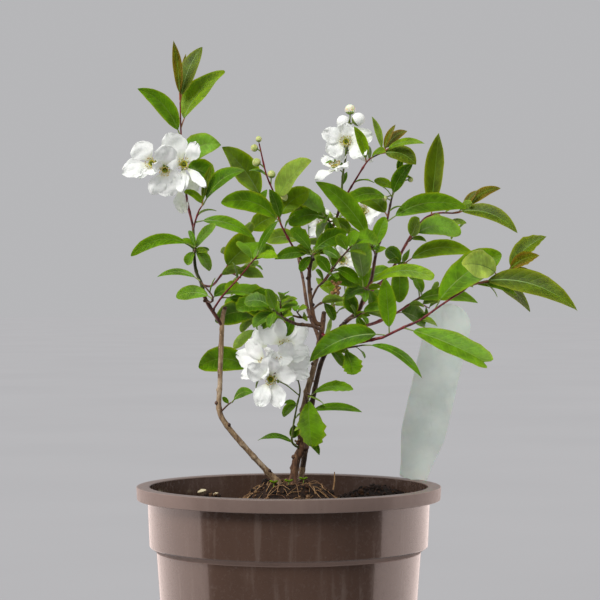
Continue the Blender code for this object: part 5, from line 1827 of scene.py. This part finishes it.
def dress_bud(parts, bud, looks, opening):
    """A round flower bud: pale petals folded over each other out of a green cup."""
    centre, way, thick = bud
    radius = thick / 2 * (OPEN_SWELL if opening else 1)
    turns = [math.pi * (number + BUD_RING_START) / BUD_RING_SPAN for number in range(FINE_BUD_RINGS)]
    levels = [-math.cos(turn) for turn in turns]
    path = [centre + way.normalized() * radius * level for level in levels]
    radii = [radius * math.sqrt(1 - level**2) for level in levels]
    start = looks.uniform(0, math.tau)

    def swell(number, side):
        turn = math.tau * side / FINE_BUD_SIDES
        fold = math.cos(BUD_FOLDS * (turn + start + BUD_FOLD_TURN * levels[number]))
        return 1 + BUD_FOLD_DEPTH * fold * (1 - levels[number] ** 2)

    shape = tube(path, radii, FINE_BUD_SIDES, swell)
    petals = "petal" if opening else "young_bud" if thick < YOUNG_BUD else "bud"
    cup = 1 + FINE_BUD_SIDES * BUD_CUP_RINGS
    parts["buds"].add(shape, ["sepal"] * cup + [petals] * (len(shape[1]) - cup))


def dress_loose_petals(petals):
    """Petals of flowers that stand behind, and a dry brown flower of crumpled lobes."""
    looks = random.Random("loose petals")
    for *place, heading, length, width, finish in LOOSE_PETALS:
        lean = looks.uniform(-LOOSE_LEAN, LOOSE_LEAN)
        along, facing = leaf_axes(heading, lean, looks.uniform(-LOOSE_TILT, LOOSE_TILT))
        dress_petal(petals, seen(*place), facing, along, length, width, looks, finish)
    for _ in range(DRY_LOBES):
        place = [middle + looks.uniform(-reach, reach) for middle, reach in zip(DRY_FLOWER, DRY_REACH)]
        stretch = Vector([looks.uniform(-1, 1) for _ in range(3)]) * DRY_STRETCH
        petals.add(bead(seen(*place), looks.uniform(*DRY_SIZES), stretch, *LOBE_GRAIN), "dry_petal")


# Pot, soil and label

def rounded(profile):
    """The profile with its corners turned into small arcs."""
    points = [Vector(profile[0])]
    for before, corner, after in zip(profile, profile[1:], profile[2:]):
        before, corner, after = Vector(before), Vector(corner), Vector(after)
        room = min(EDGE_RADIUS, (corner - before).length * EDGE_MOST, (after - corner).length * EDGE_MOST)
        start = corner + (before - corner).normalized() * room
        end = corner + (after - corner).normalized() * room
        for number in range(ARC_POINTS + 1):
            share = number / ARC_POINTS
            points.append(start.lerp(corner, share).lerp(corner.lerp(end, share), share))
    return points + [Vector(profile[-1])]


def wall_profile(inset):
    """Radius and height up the outside of the pot's wall, moved in by the inset."""
    return [
        (BASE_RADIUS - inset, BASE_EDGE),
        (BODY_TOP_RADIUS - inset, BODY_TOP),
        (COLLAR_FOOT_RADIUS - inset, COLLAR_FOOT),
        (COLLAR_TOP_RADIUS - inset, POT_HEIGHT - WALL),
    ]


def circle(radius, count):
    """Places across and in depth round the upright axis, clockwise from the right."""
    turns = [-math.tau * number / count for number in range(count)]
    return [(radius * math.cos(turn), radius * math.sin(turn)) for turn in turns]


def turned_rings(profile, turns):
    """The rings that a profile of radius and height makes round the upright axis."""
    return [[Vector((*place, height)) for place in circle(radius, turns)] for radius, height in profile]


def pot_part(place):
    """The pot's finish at a place of its profile: the rim, the step under the collar (a painted highlight),
    or the body.
    """
    on_lip = place.x > RIM_FROM and place.y > POT_HEIGHT - RIM_HEIGHT - EDGE_SPARE
    on_top = place.x > COLLAR_TOP_RADIUS - WALL - EDGE_SPARE and place.y > POT_HEIGHT - EDGE_ZONE
    if on_lip or on_top:
        return "pot_rim"
    on_step = BODY_TOP - EDGE_ZONE < place.y < COLLAR_FOOT - STEP_SPARE
    return "pot_step" if on_step and place.x > BODY_TOP_RADIUS - EDGE_ZONE else "pot_body"


def dress_pot():
    """The fine pot: turned with rounded edges, then cut for its drain holes and the label's slot."""
    rim_foot = POT_HEIGHT - RIM_HEIGHT
    profile = rounded([
        (INNER_SPOT, FLOOR),
        (BASE_RADIUS - WALL, FLOOR),
        *wall_profile(WALL)[1:],
        (COLLAR_TOP_RADIUS - WALL, POT_HEIGHT),
        (RIM_RADIUS, POT_HEIGHT),
        (RIM_RADIUS - RIM_DRAFT, rim_foot),
        (RIM_RADIUS - RIM_DRAFT - WALL, rim_foot),
        (RIM_RADIUS - WALL, POT_HEIGHT - WALL),
        *wall_profile(0)[::-1],
        (BASE_RADIUS - BASE_EDGE, 0),
        (INNER_SPOT, 0),
    ])
    finishes = ["pot_body"]
    for start, end in zip(profile, profile[1:]):
        finishes += [pot_part((start + end) / 2)] * POT_TURNS
    finishes.append("pot_body")
    pot = Gather()
    pot.add(skin(turned_rings(profile, POT_TURNS)), finishes)
    piece = pot.build("fine_pot", "pot_plastic", "pot")
    cutters = []
    for number in range(DRAIN_HOLES):
        turn = math.tau * (number + 0.5) / DRAIN_HOLES
        place = Vector((math.cos(turn), math.sin(turn), 0)) * DRAIN_CIRCLE
        ends = [place + Vector((0, 0, level)) for level in (-CUT_PAST, FLOOR + CUT_PAST)]
        cutters.append(skin([ring_round(end, Vector((0, 0, 1)), DRAIN_RADIUS, DRAIN_SIDES) for end in ends]))
    half = Vector((TONGUE_WIDTH / 2 + SLOT_SPARE, LABEL_THICKNESS / 2 + SLOT_SPARE, SLOT_DEPTH))
    middle = Vector((*LABEL_PLACE, POT_HEIGHT))
    corners = ((1, 1), (-1, 1), (-1, -1), (1, -1))
    cutters.append(skin([
        [middle + Vector((x * half.x, y * half.y, level * half.z)) for x, y in corners] for level in (-1, 1)
    ]))
    for number, cutter in enumerate(cutters):
        cut_piece(piece, f"cutter_{number}", cutter)


def cut_piece(piece, name, shape):
    """Cuts the shape out of the piece for good, and removes the cutter."""
    cutter = linked(name, [point * MM for point in shape[0]], shape[1])
    cut = piece.modifiers.new(name, "BOOLEAN")
    cut.operation = "DIFFERENCE"
    cut.solver = "EXACT"
    cut.object = cutter
    graph = bpy.context.evaluated_depsgraph_get()
    result = bpy.data.meshes.new_from_object(piece.evaluated_get(graph))
    piece.modifiers.clear()
    piece.data = result
    bpy.data.objects.remove(cutter)


def heap_rise(place):
    """How much the heap at the back right lifts the soil at a place."""
    from_top = (Vector((place.x, place.y)) - HEAP_PLACE).length
    return HEAP_RISE * math.exp(-((from_top / HEAP_REACH) ** 2))


def on_soil(across, depth, rise=0.0):
    """The point this far above the soil: the root ball's flat-topped mound, the heap, and crumbs."""
    place = Vector((across, depth))
    from_ball = max((place - ROOT_BALL_PLACE).length - FLAT_TOP, 0)
    ball = (ROOT_BALL_TOP - SOIL_LEVEL) * math.exp(-((from_ball / (ROOT_BALL_REACH - FLAT_TOP)) ** 2))
    level = SOIL_LEVEL + max(ball, heap_rise(place)) - SOIL_SINK
    level += sum(noise.noise(Vector((*place, 0)) / size) * height for size, height in SOIL_LUMPS)
    return Vector((across, depth, level + rise))


def dress_soil():
    """The fill: it follows the inside of the pot, and its top is fine and uneven."""
    sides = wall_profile(WALL + SOIL_GAP)
    bottom = FLOOR + SOIL_GAP
    rings = turned_rings([(INNER_SPOT, bottom), (sides[0][0], bottom), *sides[1:3]], SOIL_SPOKES)
    for number in range(SOIL_RINGS, 0, -1):
        radius = sides[2][0] * (number / SOIL_RINGS) ** SOIL_CROWDING
        rings.append([on_soil(*place) for place in circle(radius, SOIL_SPOKES)])
    points, faces = skin(rings)
    faces = [tuple(reversed(face)) for face in faces]
    soil = Gather()
    # Faces on the heap at the back right take the darker peat
    finishes = ["peat_dark" if heap_rise(points[face[0]]) > HEAP_DARK else "peat" for face in faces]
    soil.add((points, faces), finishes)
    soil.build("soil_surface", "potting_soil", "soil")


def soil_spot(looks):
    """A random place on the soil."""
    turn = looks.uniform(0, math.tau)
    radius = LITTER_EDGE * math.sqrt(looks.uniform(LEAST_SPOT, 1))
    return on_soil(radius * math.cos(turn), radius * math.sin(turn))


def crumb_axis(looks, size):
    """The way that a crumb is drawn out, mostly level."""
    slant = CRUMB_SLANT
    return Vector((looks.uniform(-1, 1), looks.uniform(-1, 1), looks.uniform(-slant, slant))) * size


def fibre_path(spot, looks):
    """A bowed root fibre that lies on the soil from a spot."""
    turn = looks.uniform(0, math.tau)
    length = looks.uniform(*FIBRE_LENGTH)
    bow = looks.uniform(-FIBRE_BOW, FIBRE_BOW) * length
    rise = looks.uniform(*FIBRE_RISE)
    path = []
    for step in range(FIBRE_STEPS + 1):
        share = step / FIBRE_STEPS
        out = Vector((math.cos(turn), math.sin(turn))) * length * share
        out += Vector((-math.sin(turn), math.cos(turn))) * bow * share * (1 - share)
        place = Vector((spot.x, spot.y)) + out
        if place.length > LITTER_EDGE:
            place = place.normalized() * LITTER_EDGE
        path.append(on_soil(*place, FIBRE_GAP + rise * math.sin(math.pi * share) ** 2))
    return path


def dress_litter():
    """Crumbs of peat, root fibres, seedlings, a pile of crumbs, bark chips and a straw on the soil."""
    looks = random.Random("litter")
    litter = Gather()
    for number in range(CRUMBS):
        spot = soil_spot(looks)
        size = looks.uniform(*(CRUMB_SIZES if number % BIG_CRUMB_EVERY else BIG_CRUMB_SIZES))
        axis = crumb_axis(looks, size)
        colour = looks.choice(CRUMB_COLOURS)
        # On the heap the crumbs are darker
        if heap_rise(spot) > HEAP_DARK:
            colour = looks.choice(HEAP_COLOURS)
        litter.add(bead(spot + Vector((0, 0, size * CRUMB_RISE)), size, axis, *CRUMB_GRAIN), colour)
    for _ in range(FIBRES):
        spot = soil_spot(looks)
        path = fibre_path(spot, looks)
        shortest = min((end - start).length for start, end in zip(path, path[1:]))
        if length_of(path) > FIBRE_LEAST and shortest > FIBRE_LEAST_STEP:
            thick = looks.uniform(*FIBRE_THICK)
            colour = looks.choice(FIBRE_COLOURS)
            # On the heap the fibres are darker
            if heap_rise(spot) > HEAP_DARK:
                colour = "fibre_dark"
            litter.add(tube(path, [thick] * FIBRE_STEPS + [thick * TIP_PINCH], FINE_SIDES), colour)
    for across, depth, height in SEEDLINGS:
        foot = on_soil(across, depth)
        top = foot + Vector((*SEEDLING_LEAN, height))
        path = [foot, (foot + top) / 2 + Vector((SEEDLING_BOW, 0, 0)), top]
        litter.add(tube(path, SEEDLING_RADII, STALK_SIDES), "petiole_green")
        for side in (-1, 1):
            way = Vector((side * SEED_LEAF[0], *SEED_LEAF[1:]))
            litter.add(bead(top + way * SEED_LEAF_OUT, SEED_LEAF_SIZE, way, *LOBE_GRAIN), "leaf_fresh")
    for _ in range(PILE_CRUMBS):
        turn = looks.uniform(0, math.tau)
        radius = math.sqrt(looks.uniform(0, 1))
        across = PILE_PLACE[0] + math.cos(turn) * radius * PILE_REACH[0]
        depth = PILE_PLACE[1] + math.sin(turn) * radius * PILE_REACH[1]
        rise = PILE_RISE * (1 - radius**2) * looks.uniform(PILE_LEAST, 1)
        size = looks.uniform(*PILE_SIZES)
        axis = crumb_axis(looks, size)
        grain = bead(on_soil(across, depth, rise), size, axis, *CRUMB_GRAIN)
        litter.add(grain, looks.choice(CRUMB_COLOURS))
    for *place, size in CHIPS:
        axis = Vector((size * CHIP_LENGTH, CHIP_TURN, size * CHIP_TIP))
        litter.add(bead(on_soil(*place), size * CHIP_RADIUS, axis, *CHIP_GRAIN), "chip")
    start, end = (Vector(place) for place in STRAW)
    path = [start, (start + end) / 2 + Vector((STRAW_BOW, 0, 0)), end]
    litter.add(tube(path, STRAW_RADII, STALK_SIDES), "fibre_tan")
    litter.build("soil_litter", "potting_soil")


def dress_label():
    """The blank label with fine round corners, thin and slightly bowed."""
    narrow = LABEL_SHOULDER_WIDTH / 2
    wide = LABEL_WIDTH / 2
    tongue = TONGUE_WIDTH / 2
    round_top = LABEL_LENGTH - wide
    taper, straight, arc = LABEL_ROWS
    rows = [(-TONGUE_LENGTH, tongue), (-LABEL_CORNERS[1][0], tongue), (0, tongue)]
    rows += [(height, narrow - inset) for height, inset in LABEL_CORNERS]
    for number in range(1, taper + 1):
        share = number / taper
        rows.append((LABEL_NARROWS_AT * share, narrow + (wide - narrow) * smooth_step(0, 1, share)))
    for number in range(1, straight + 1):
        rows.append((LABEL_NARROWS_AT + (round_top - LABEL_NARROWS_AT) * number / straight, wide))
    for number in range(1, arc + 1):
        turn = math.pi / 2 * number / arc
        rows.append((round_top + wide * math.sin(turn), max(wide * math.cos(turn), LABEL_TIP)))

    def place(row, across):
        height, half = rows[row]
        edge = 1 - LABEL_EDGE_THIN * (abs(across) > LABEL_EDGE)
        bow = LABEL_BOW * (1 - across**2) * smooth_step(0, LABEL_BOW_END, height)
        return label_point(across * half, bow, height), Vector((0, -LABEL_THICKNESS / 2 * edge, 0))

    marks = [column / (LABEL_COLUMNS - 1) * 2 - 1 for column in range(LABEL_COLUMNS)]
    label = Gather()
    label.add(lens(len(rows) - 1, marks, place)[0], "label")
    label.build("blank_label", "label_plastic", "plant_label")


# Finishes

def shaded(colour, red, green, blue, lift=0.0):
    """The colour with its channels made this many times as strong, then lifted."""
    return (*(min(channel * share + lift, 1) for channel, share in zip(colour, (red, green, blue))), 1)


class Finish:
    """A material's shader, with short ways to add nodes to it."""

    def __init__(self, name, **sockets):
        self.material = bpy.data.materials.new(name)
        self.material.use_nodes = True
        tree = self.material.node_tree
        self.nodes = tree.nodes
        self.links = tree.links
        self.shader = tree.nodes["Principled BSDF"]
        for socket, value in sockets.items():
            self.feed(self.shader, socket.replace("_", " "), value)

    def feed(self, node, socket, value):
        target = node.inputs[socket]
        if isinstance(value, bpy.types.NodeSocket):
            self.links.new(value, target)
        else:
            target.default_value = value

    def node(self, kind, inputs, output=0, **settings):
        node = self.nodes.new(kind)
        for name, value in settings.items():
            setattr(node, name, value)
        for socket, value in inputs.items():
            self.feed(node, socket, value)
        return node.outputs[output]

    def map_places(self):
        """How far along and how far across its UV map a place lies."""
        spots = self.node("ShaderNodeUVMap", {}, uv_map="UVMap")
        along = self.node("ShaderNodeSeparateXYZ", {"Vector": spots}, "X")
        return along, along.node.outputs["Y"]

    def noise(self, size, detail=3.0, stretch=(1, 1, 1), rough=0.55):
        """Soft noise with features of this size in millimetres, stretched."""
        here = self.node("ShaderNodeTexCoord", {}, "Object")
        scale = tuple(share / MM for share in stretch)
        places = self.node("ShaderNodeMapping", {"Vector": here, "Scale": scale})
        inputs = {"Vector": places, "Scale": 1 / size, "Detail": detail, "Roughness": rough}
        return self.node("ShaderNodeTexNoise", inputs, "Fac")

    def ramp(self, factor, low, high, start=0.0, end=1.0):
        """A smooth step of the factor between low and high, which gives start to end."""
        inputs = {"Value": factor, "From Min": low, "From Max": high, "To Min": start, "To Max": end}
        return self.node("ShaderNodeMapRange", inputs, interpolation_type="SMOOTHSTEP")

    def blend(self, factor, first, second):
        return self.node("ShaderNodeMix", {0: factor, 6: first, 7: second}, 2, data_type="RGBA")

    def over(self, base, colour, pattern, low, high, share=1.0):
        """The base with this share of the colour laid over it where the pattern rises from low to high."""
        return self.blend(self.ramp(pattern, low, high, 0.0, share), base, colour)

    def calc(self, operation, first, second):
        return self.node("ShaderNodeMath", {0: first, 1: second}, operation=operation)

    def bump(self, height, distance, strength=1.0, normal=None):
        """Relief of this depth in millimetres where the height goes from 0 to 1."""
        inputs = {"Height": height, "Distance": distance * MM, "Strength": strength}
        if normal:
            inputs["Normal"] = normal
        return self.node("ShaderNodeBump", inputs)

    def wear(self, colour, roughness, relief):
        """Sets what the shader shows."""
        self.feed(self.shader, "Base Color", colour)
        self.feed(self.shader, "Roughness", roughness)
        self.feed(self.shader, "Normal", relief)


def leaf_finish(name, tones, rough, edge=None):
    """A leaf's side: side veins slant from the midrib, with soft blotches between them."""
    colour = tone(*tones)
    finish = Finish(
        name, Subsurface_Weight=LEAF_GLOW_WEIGHT, Subsurface_Scale=LEAF_GLOW_DEPTH * MM,
        Subsurface_Radius=LEAF_GLOW, Specular_IOR_Level=LEAF_SHINE,
    )
    along, across = finish.map_places()
    from_rib = finish.calc("ABSOLUTE", finish.calc("SUBTRACT", across, 0.5), 0.0)
    ranks = finish.calc("MULTIPLY", along, VEIN_COUNT)
    slant = finish.calc("SUBTRACT", ranks, finish.calc("MULTIPLY", from_rib, VEIN_SLANT))
    wander = finish.calc("MULTIPLY", finish.noise(*VEIN_DRIFT), VEIN_WANDER)
    ridge = finish.calc("PINGPONG", finish.calc("ADD", slant, wander), 0.5)
    line = finish.ramp(ridge, 0.0, VEIN_WIDTH, 1.0, 0.0)
    fine = finish.noise(*LEAF_GRAIN)
    darker = shaded(colour, *LEAF_DARK)
    base = finish.over(darker, shaded(colour, *LEAF_LIGHT), finish.noise(LEAF_BLOTCH), *BLOTCH_SHOW)
    base = finish.over(base, darker, fine, *LEAF_GRAIN_SHOW)
    base = finish.over(base, shaded(colour, *LEAF_TIP), along, *LEAF_TIP_SHOW)
    if edge:
        patch = finish.calc("ADD", from_rib, finish.calc("MULTIPLY", finish.noise(*EDGE_DRIFT), EDGE_WANDER))
        base = finish.over(base, edge, patch, *EDGE_SHOW)
    vein = shaded(colour, *VEIN_LIGHT)
    base = finish.blend(finish.calc("MULTIPLY", line, VEIN_SHOW), base, vein)
    pores = finish.bump(fine, *LEAF_GRAIN_RELIEF)
    quilt = finish.bump(finish.ramp(ridge, 0.0, VEIN_RISE), *VEIN_RELIEF, pores)
    roughness = finish.ramp(fine, *LEAF_GRAIN_SHINE, rough - LEAF_SMOOTHER, rough + LEAF_ROUGHER)
    finish.wear(base, roughness, quilt)


def stem_finish(name, tones, dark_tones, light_tones, rough, relief):
    """Bark or a shoot: streaks along it, dark scars and pale lenticels."""
    finish = Finish(name)
    dark = tone(*dark_tones)
    light = tone(*light_tones)
    streaks = finish.noise(*BARK_STREAKS)
    grain = finish.noise(*BARK_GRAIN)
    base = finish.over(dark, tone(*tones), streaks, *BARK_STREAK_SHOW)
    base = finish.over(base, light, finish.noise(BARK_PATCH), *BARK_PATCH_SHOW)
    base = finish.over(base, light, finish.noise(*LENTICELS), *LENTICEL_SHOW)
    base = finish.over(base, dark, grain, *BARK_GRAIN_SHOW)
    roughness = finish.ramp(streaks, *MIDDLE, rough + BARK_ROUGHER, rough - BARK_SMOOTHER)
    fine = finish.bump(grain, relief * BARK_GRAIN_DEPTH, BARK_GRAIN_STRENGTH)
    finish.wear(base, roughness, finish.bump(streaks, relief, BARK_STRENGTH, fine))


def soft_finish(name, tones, other_tones, size, rough, glow):
    """Small soft things: one colour that drifts to another."""
    finish = Finish(name, Subsurface_Weight=glow, Subsurface_Scale=SOFT_GLOW_DEPTH * MM)
    grain = finish.noise(size / SOFT_GRAINS)
    base = finish.over(tone(*tones), tone(*other_tones), finish.noise(size, SOFT_DETAIL), *SOFT_SHOW)
    roughness = finish.ramp(grain, *SOFT_SHINE, rough - SOFT_PLAY, rough + SOFT_PLAY)
    finish.wear(base, roughness, finish.bump(grain, *SOFT_RELIEF))


def petal_finish(name, tones, shade_tones, glow, lit):
    """Petals: white, faintly green at the claw, with fine veins that run out to the tip."""
    colour = tone(*tones)
    # The emission is painted light: a faint glow in the petal's own colour that stands in for light passing
    # through it
    finish = Finish(
        name, Subsurface_Weight=glow, Subsurface_Scale=PETAL_GLOW_DEPTH * MM, Subsurface_Radius=PETAL_GLOW,
        Emission_Color=colour, Emission_Strength=lit, Specular_IOR_Level=PETAL_SHINE,
    )
    along, across = finish.map_places()
    fan = finish.calc("MULTIPLY", finish.calc("SUBTRACT", across, 0.5), PETAL_VEINS)
    ridge = finish.calc("PINGPONG", finish.calc("ADD", fan, finish.noise(PETAL_VEIN_DRIFT)), 0.5)
    base = finish.over(colour, tone(*shade_tones), finish.noise(PETAL_CLOUD), *MIDDLE)
    base = finish.blend(finish.ramp(ridge, *PETAL_VEIN_SHOW), base, PETAL_VEIN)
    base = finish.blend(finish.ramp(along, *PETAL_CLAW_SHOW), base, PETAL_CLAW)
    folds = finish.bump(finish.noise(PETAL_FOLD), *PETAL_FOLD_RELIEF)
    creases = finish.bump(ridge, *PETAL_VEIN_RELIEF, folds)
    finish.wear(base, finish.ramp(finish.noise(PETAL_GRAIN), *MIDDLE, *PETAL_ROUGHNESS), creases)


def pot_finish(name, tones, rough, coat):
    """Moulded plastic: faint flow streaks, fine scuffs, patches of dust and dried water runs."""
    colour = tone(*tones)
    finish = Finish(name, Coat_Weight=coat, Coat_Roughness=COAT_ROUGHNESS, IOR=PLASTIC_IOR)
    flow = finish.noise(*POT_FLOW)
    runs = finish.noise(*POT_RUNS)
    specks = finish.noise(*POT_SPECKS)
    dust = finish.noise(*POT_DUSTING)
    base = finish.over(shaded(colour, *POT_FLOW_DARK), colour, flow, *MIDDLE)
    base = finish.over(base, POT_DUST, runs, *RUNS_SHOW)
    base = finish.over(base, POT_DIRT, specks, *SPECK_SHOW)
    base = finish.over(base, POT_DUST, dust, *DUST_SHOW)
    worn = finish.ramp(dust, *DUST_WORN, rough - POT_SMOOTHER, rough + POT_ROUGHER)
    roughness = finish.calc("ADD", worn, finish.ramp(runs, *RUNS_ROUGHEN))
    ripple = finish.noise(*POT_RIPPLE)
    finish.wear(base, roughness, finish.bump(ripple, *RIPPLE_RELIEF, finish.bump(specks, *SPECK_RELIEF)))


def soil_finish(name, tones, dark_tones, light_tones):
    """Moist peat: crumbs at two sizes, dark between them."""
    finish = Finish(name, Specular_IOR_Level=PEAT_SHINE)
    clods = finish.noise(*PEAT_CLODS)
    crumbs = finish.noise(*PEAT_CRUMBS)
    base = finish.over(tone(*dark_tones), tone(*tones), clods, *CLOD_SHOW)
    base = finish.over(base, tone(*light_tones), crumbs, *CRUMB_SHOW)
    relief = finish.bump(crumbs, *CRUMB_RELIEF, finish.bump(clods, *CLOD_RELIEF))
    finish.wear(base, finish.ramp(crumbs, *MIDDLE, *PEAT_ROUGHNESS), relief)


def label_finish():
    """The blank label: pale frosted plastic with faint scratches and a water mark."""
    finish = Finish(
        "label", Subsurface_Weight=LABEL_GLOW, Subsurface_Scale=LABEL_GLOW_DEPTH * MM, Coat_Weight=LABEL_COAT,
    )
    cloud = finish.noise(*LABEL_CLOUD)
    scratch = finish.noise(*LABEL_SCRATCH)
    smear = finish.noise(*LABEL_MARK)
    base = finish.over(LABEL_PALE, LABEL_SHADE, cloud, *MIDDLE)
    base = finish.over(base, LABEL_SMEAR, smear, *LABEL_MARK_SHOW)
    relief = finish.bump(scratch, *SCRATCH_RELIEF, finish.bump(cloud, *CLOUD_RELIEF))
    finish.wear(base, finish.ramp(scratch, *SCRATCH_ROUGHEN), relief)


def make_finishes():
    for name, tones in LEAF_TONES.items():
        leaf_finish(f"leaf_{name}", tones, LEAF_GLOSS.get(name, LEAF_ROUGHNESS), EDGE_TONES.get(name))
    leaf_finish("leaf_under", UNDER_TONE, UNDER_ROUGHNESS)
    kinds = (
        (stem_finish, BARKS), (soft_finish, SOFT_THINGS), (petal_finish, PETAL_LOOKS),
        (pot_finish, POT_LOOKS), (soil_finish, PEATS),
    )
    for make, looks in kinds:
        for name, values in looks.items():
            make(name, *values)
    label_finish()


# Floor, light and camera

def staged(name, points, faces, material):
    piece = linked(name, points, faces)
    piece.data.materials.append(material)
    return piece


def make_floor():
    finish = Finish("floor", Roughness=FLOOR_ROUGHNESS, Specular_IOR_Level=0.0)
    drift = finish.noise(FLOOR_DRIFT)
    finish.feed(finish.shader, "Base Color", finish.over(FLOOR_TONE, FLOOR_TONE_DEEP, drift, *MIDDLE))
    points = [(x, -y, 0) for x, y in circle(FLOOR_REACH, FLOOR_SIDES)]
    staged("floor", points, [tuple(range(FLOOR_SIDES))], finish.material)


def glow_material(name, colour, strength):
    """A material that only shines, and its emission node."""
    material = bpy.data.materials.new(name)
    material.use_nodes = True
    nodes = material.node_tree.nodes
    nodes.clear()
    light = nodes.new("ShaderNodeEmission")
    light.inputs["Color"].default_value = colour
    light.inputs["Strength"].default_value = strength
    end = nodes.new("ShaderNodeOutputMaterial")
    material.node_tree.links.new(light.outputs[0], end.inputs["Surface"])
    return material, light


def make_wall(name, material, radius, top, turns, hidden_from):
    """An upright wall through these turns round the axis, which some kinds of ray don't meet."""
    points = []
    for turn in turns:
        way = Vector((math.cos(turn), math.sin(turn), 0)) * radius
        points += [way, way + Vector((0, 0, top))]
    faces = [(2 * n, 2 * n + 2, 2 * n + 3, 2 * n + 1) for n in range(len(turns) - 1)]
    wall = staged(name, points, faces, material)
    for kind in hidden_from:
        setattr(wall, f"visible_{kind}", False)


def make_card(name, from_turn, to_turn, glow, fade=1.0):
    """An upright arc that only shows in what shines: a dark room in front or a bright window at a side.

    The window's light falls to a share of itself, its fade, from the front edge to the back.
    """
    material, light = glow_material(name, CARD_COLOUR, glow)
    nodes = material.node_tree.nodes
    here = nodes.new("ShaderNodeTexCoord")
    split = nodes.new("ShaderNodeSeparateXYZ")
    ramp = nodes.new("ShaderNodeMapRange")
    material.node_tree.links.new(here.outputs["Object"], split.inputs[0])
    material.node_tree.links.new(split.outputs["Y"], ramp.inputs["Value"])
    material.node_tree.links.new(ramp.outputs[0], light.inputs["Strength"])
    edges = [-math.cos(math.radians(turn)) * CARD_DISTANCE for turn in (from_turn, to_turn)]
    limits = {"From Min": min(edges), "From Max": max(edges), "To Min": glow, "To Max": glow * fade}
    for socket, value in limits.items():
        ramp.inputs[socket].default_value = value
    steps = range(CARD_STEPS + 1)
    turns = [math.radians(-90 + from_turn + (to_turn - from_turn) * number / CARD_STEPS) for number in steps]
    hidden_from = ("camera", "diffuse", "shadow", "transmission")
    make_wall(name, material, CARD_DISTANCE, CARD_TOP, turns, hidden_from)


def make_backdrop():
    """A far round wall that gives the picture its pale ground and lights nothing."""
    material, _ = glow_material("backdrop", BACKDROP, BACKDROP_GLOW)
    turns = [math.tau * number / FLOOR_SIDES for number in range(FLOOR_SIDES + 1)]
    hidden_from = ("diffuse", "glossy", "shadow", "transmission")
    make_wall("backdrop", material, FLOOR_REACH, FLOOR_REACH, turns, hidden_from)


def make_light():
    world = bpy.data.worlds.new("studio")
    bpy.context.scene.world = world
    world.use_nodes = True
    around = world.node_tree.nodes["Background"]
    around.inputs["Color"].default_value = BACKDROP
    around.inputs["Strength"].default_value = ROOM_LIGHT
    lamp = bpy.data.lights.new("key", "SUN")
    lamp.energy = KEY_STRENGTH
    lamp.angle = math.radians(KEY_SOFTNESS)
    lamp.color = KEY_COLOUR
    key = bpy.data.objects.new("key", lamp)
    bpy.context.scene.collection.objects.link(key)
    key.rotation_euler = Vector(KEY_FROM).to_track_quat("Z", "Y").to_euler()
    make_card("room", DARK_FROM, DARK_TO, ROOM_GLOW)
    make_card("left_window", -WINDOW_END, DARK_FROM, WINDOW_GLOW, WINDOW_FADE)
    make_card("right_window", DARK_TO, WINDOW_END, WINDOW_GLOW, WINDOW_FADE)


def make_camera():
    data = bpy.data.cameras.new("view")
    data.lens = CAMERA_LENS
    data.sensor_width = SENSOR_WIDTH
    camera = bpy.data.objects.new("view", data)
    bpy.context.scene.collection.objects.link(camera)
    camera.location = Vector((EYE_ACROSS, -EYE_DISTANCE, EYE_HEIGHT)) * MM
    camera.rotation_euler = (math.radians(90), 0, 0)
    bpy.context.scene.camera = camera
    bpy.context.scene.view_settings.view_transform = "Standard"


def dress_plant():
    """Grows the plant by the rule, then dresses each limb, leaf, flower and bud."""
    limbs, masses = grow_plant()
    for name in LIMBS:
        dress_limb(name, limbs).build(f"{name}_bark", "bark", name)
    parts = {kind: Gather() for kind in ("petals", "centres", "stamens", "buds")}
    for region, names in REGIONS.items():
        blades = Gather()
        twigs = Gather()
        for name in names:
            mass = masses[name]
            looks = random.Random(name + " looks")
            dress_twigs(twigs, mass, looks)
            for leaf, colour, form in mass["leaves"]:
                dress_leaf(blades, twigs, leaf, colour, form, looks)
            plans = PETAL_PLANS.get(name, [None] * len(mass["flowers"]))
            for flower, plan in zip(mass["flowers"], plans):
                dress_flower(parts, flower, plan, looks)
            for number, bud in enumerate(mass["buds"]):
                dress_bud(parts, bud, looks, number in OPENING_BUDS.get(name, ()))
        blades.build(f"{region}_foliage", "foliage", *names)
        twigs.build(f"{region}_twigs", "bark")
    dress_loose_petals(parts["petals"])
    for kind, gathered in parts.items():
        gathered.build(f"flower_{kind}", "foliage")


make_finishes()
dress_plant()
dress_pot()
dress_soil()
dress_litter()
dress_label()
make_floor()
make_backdrop()
make_light()
make_camera()

bpy.context.view_layer.update()
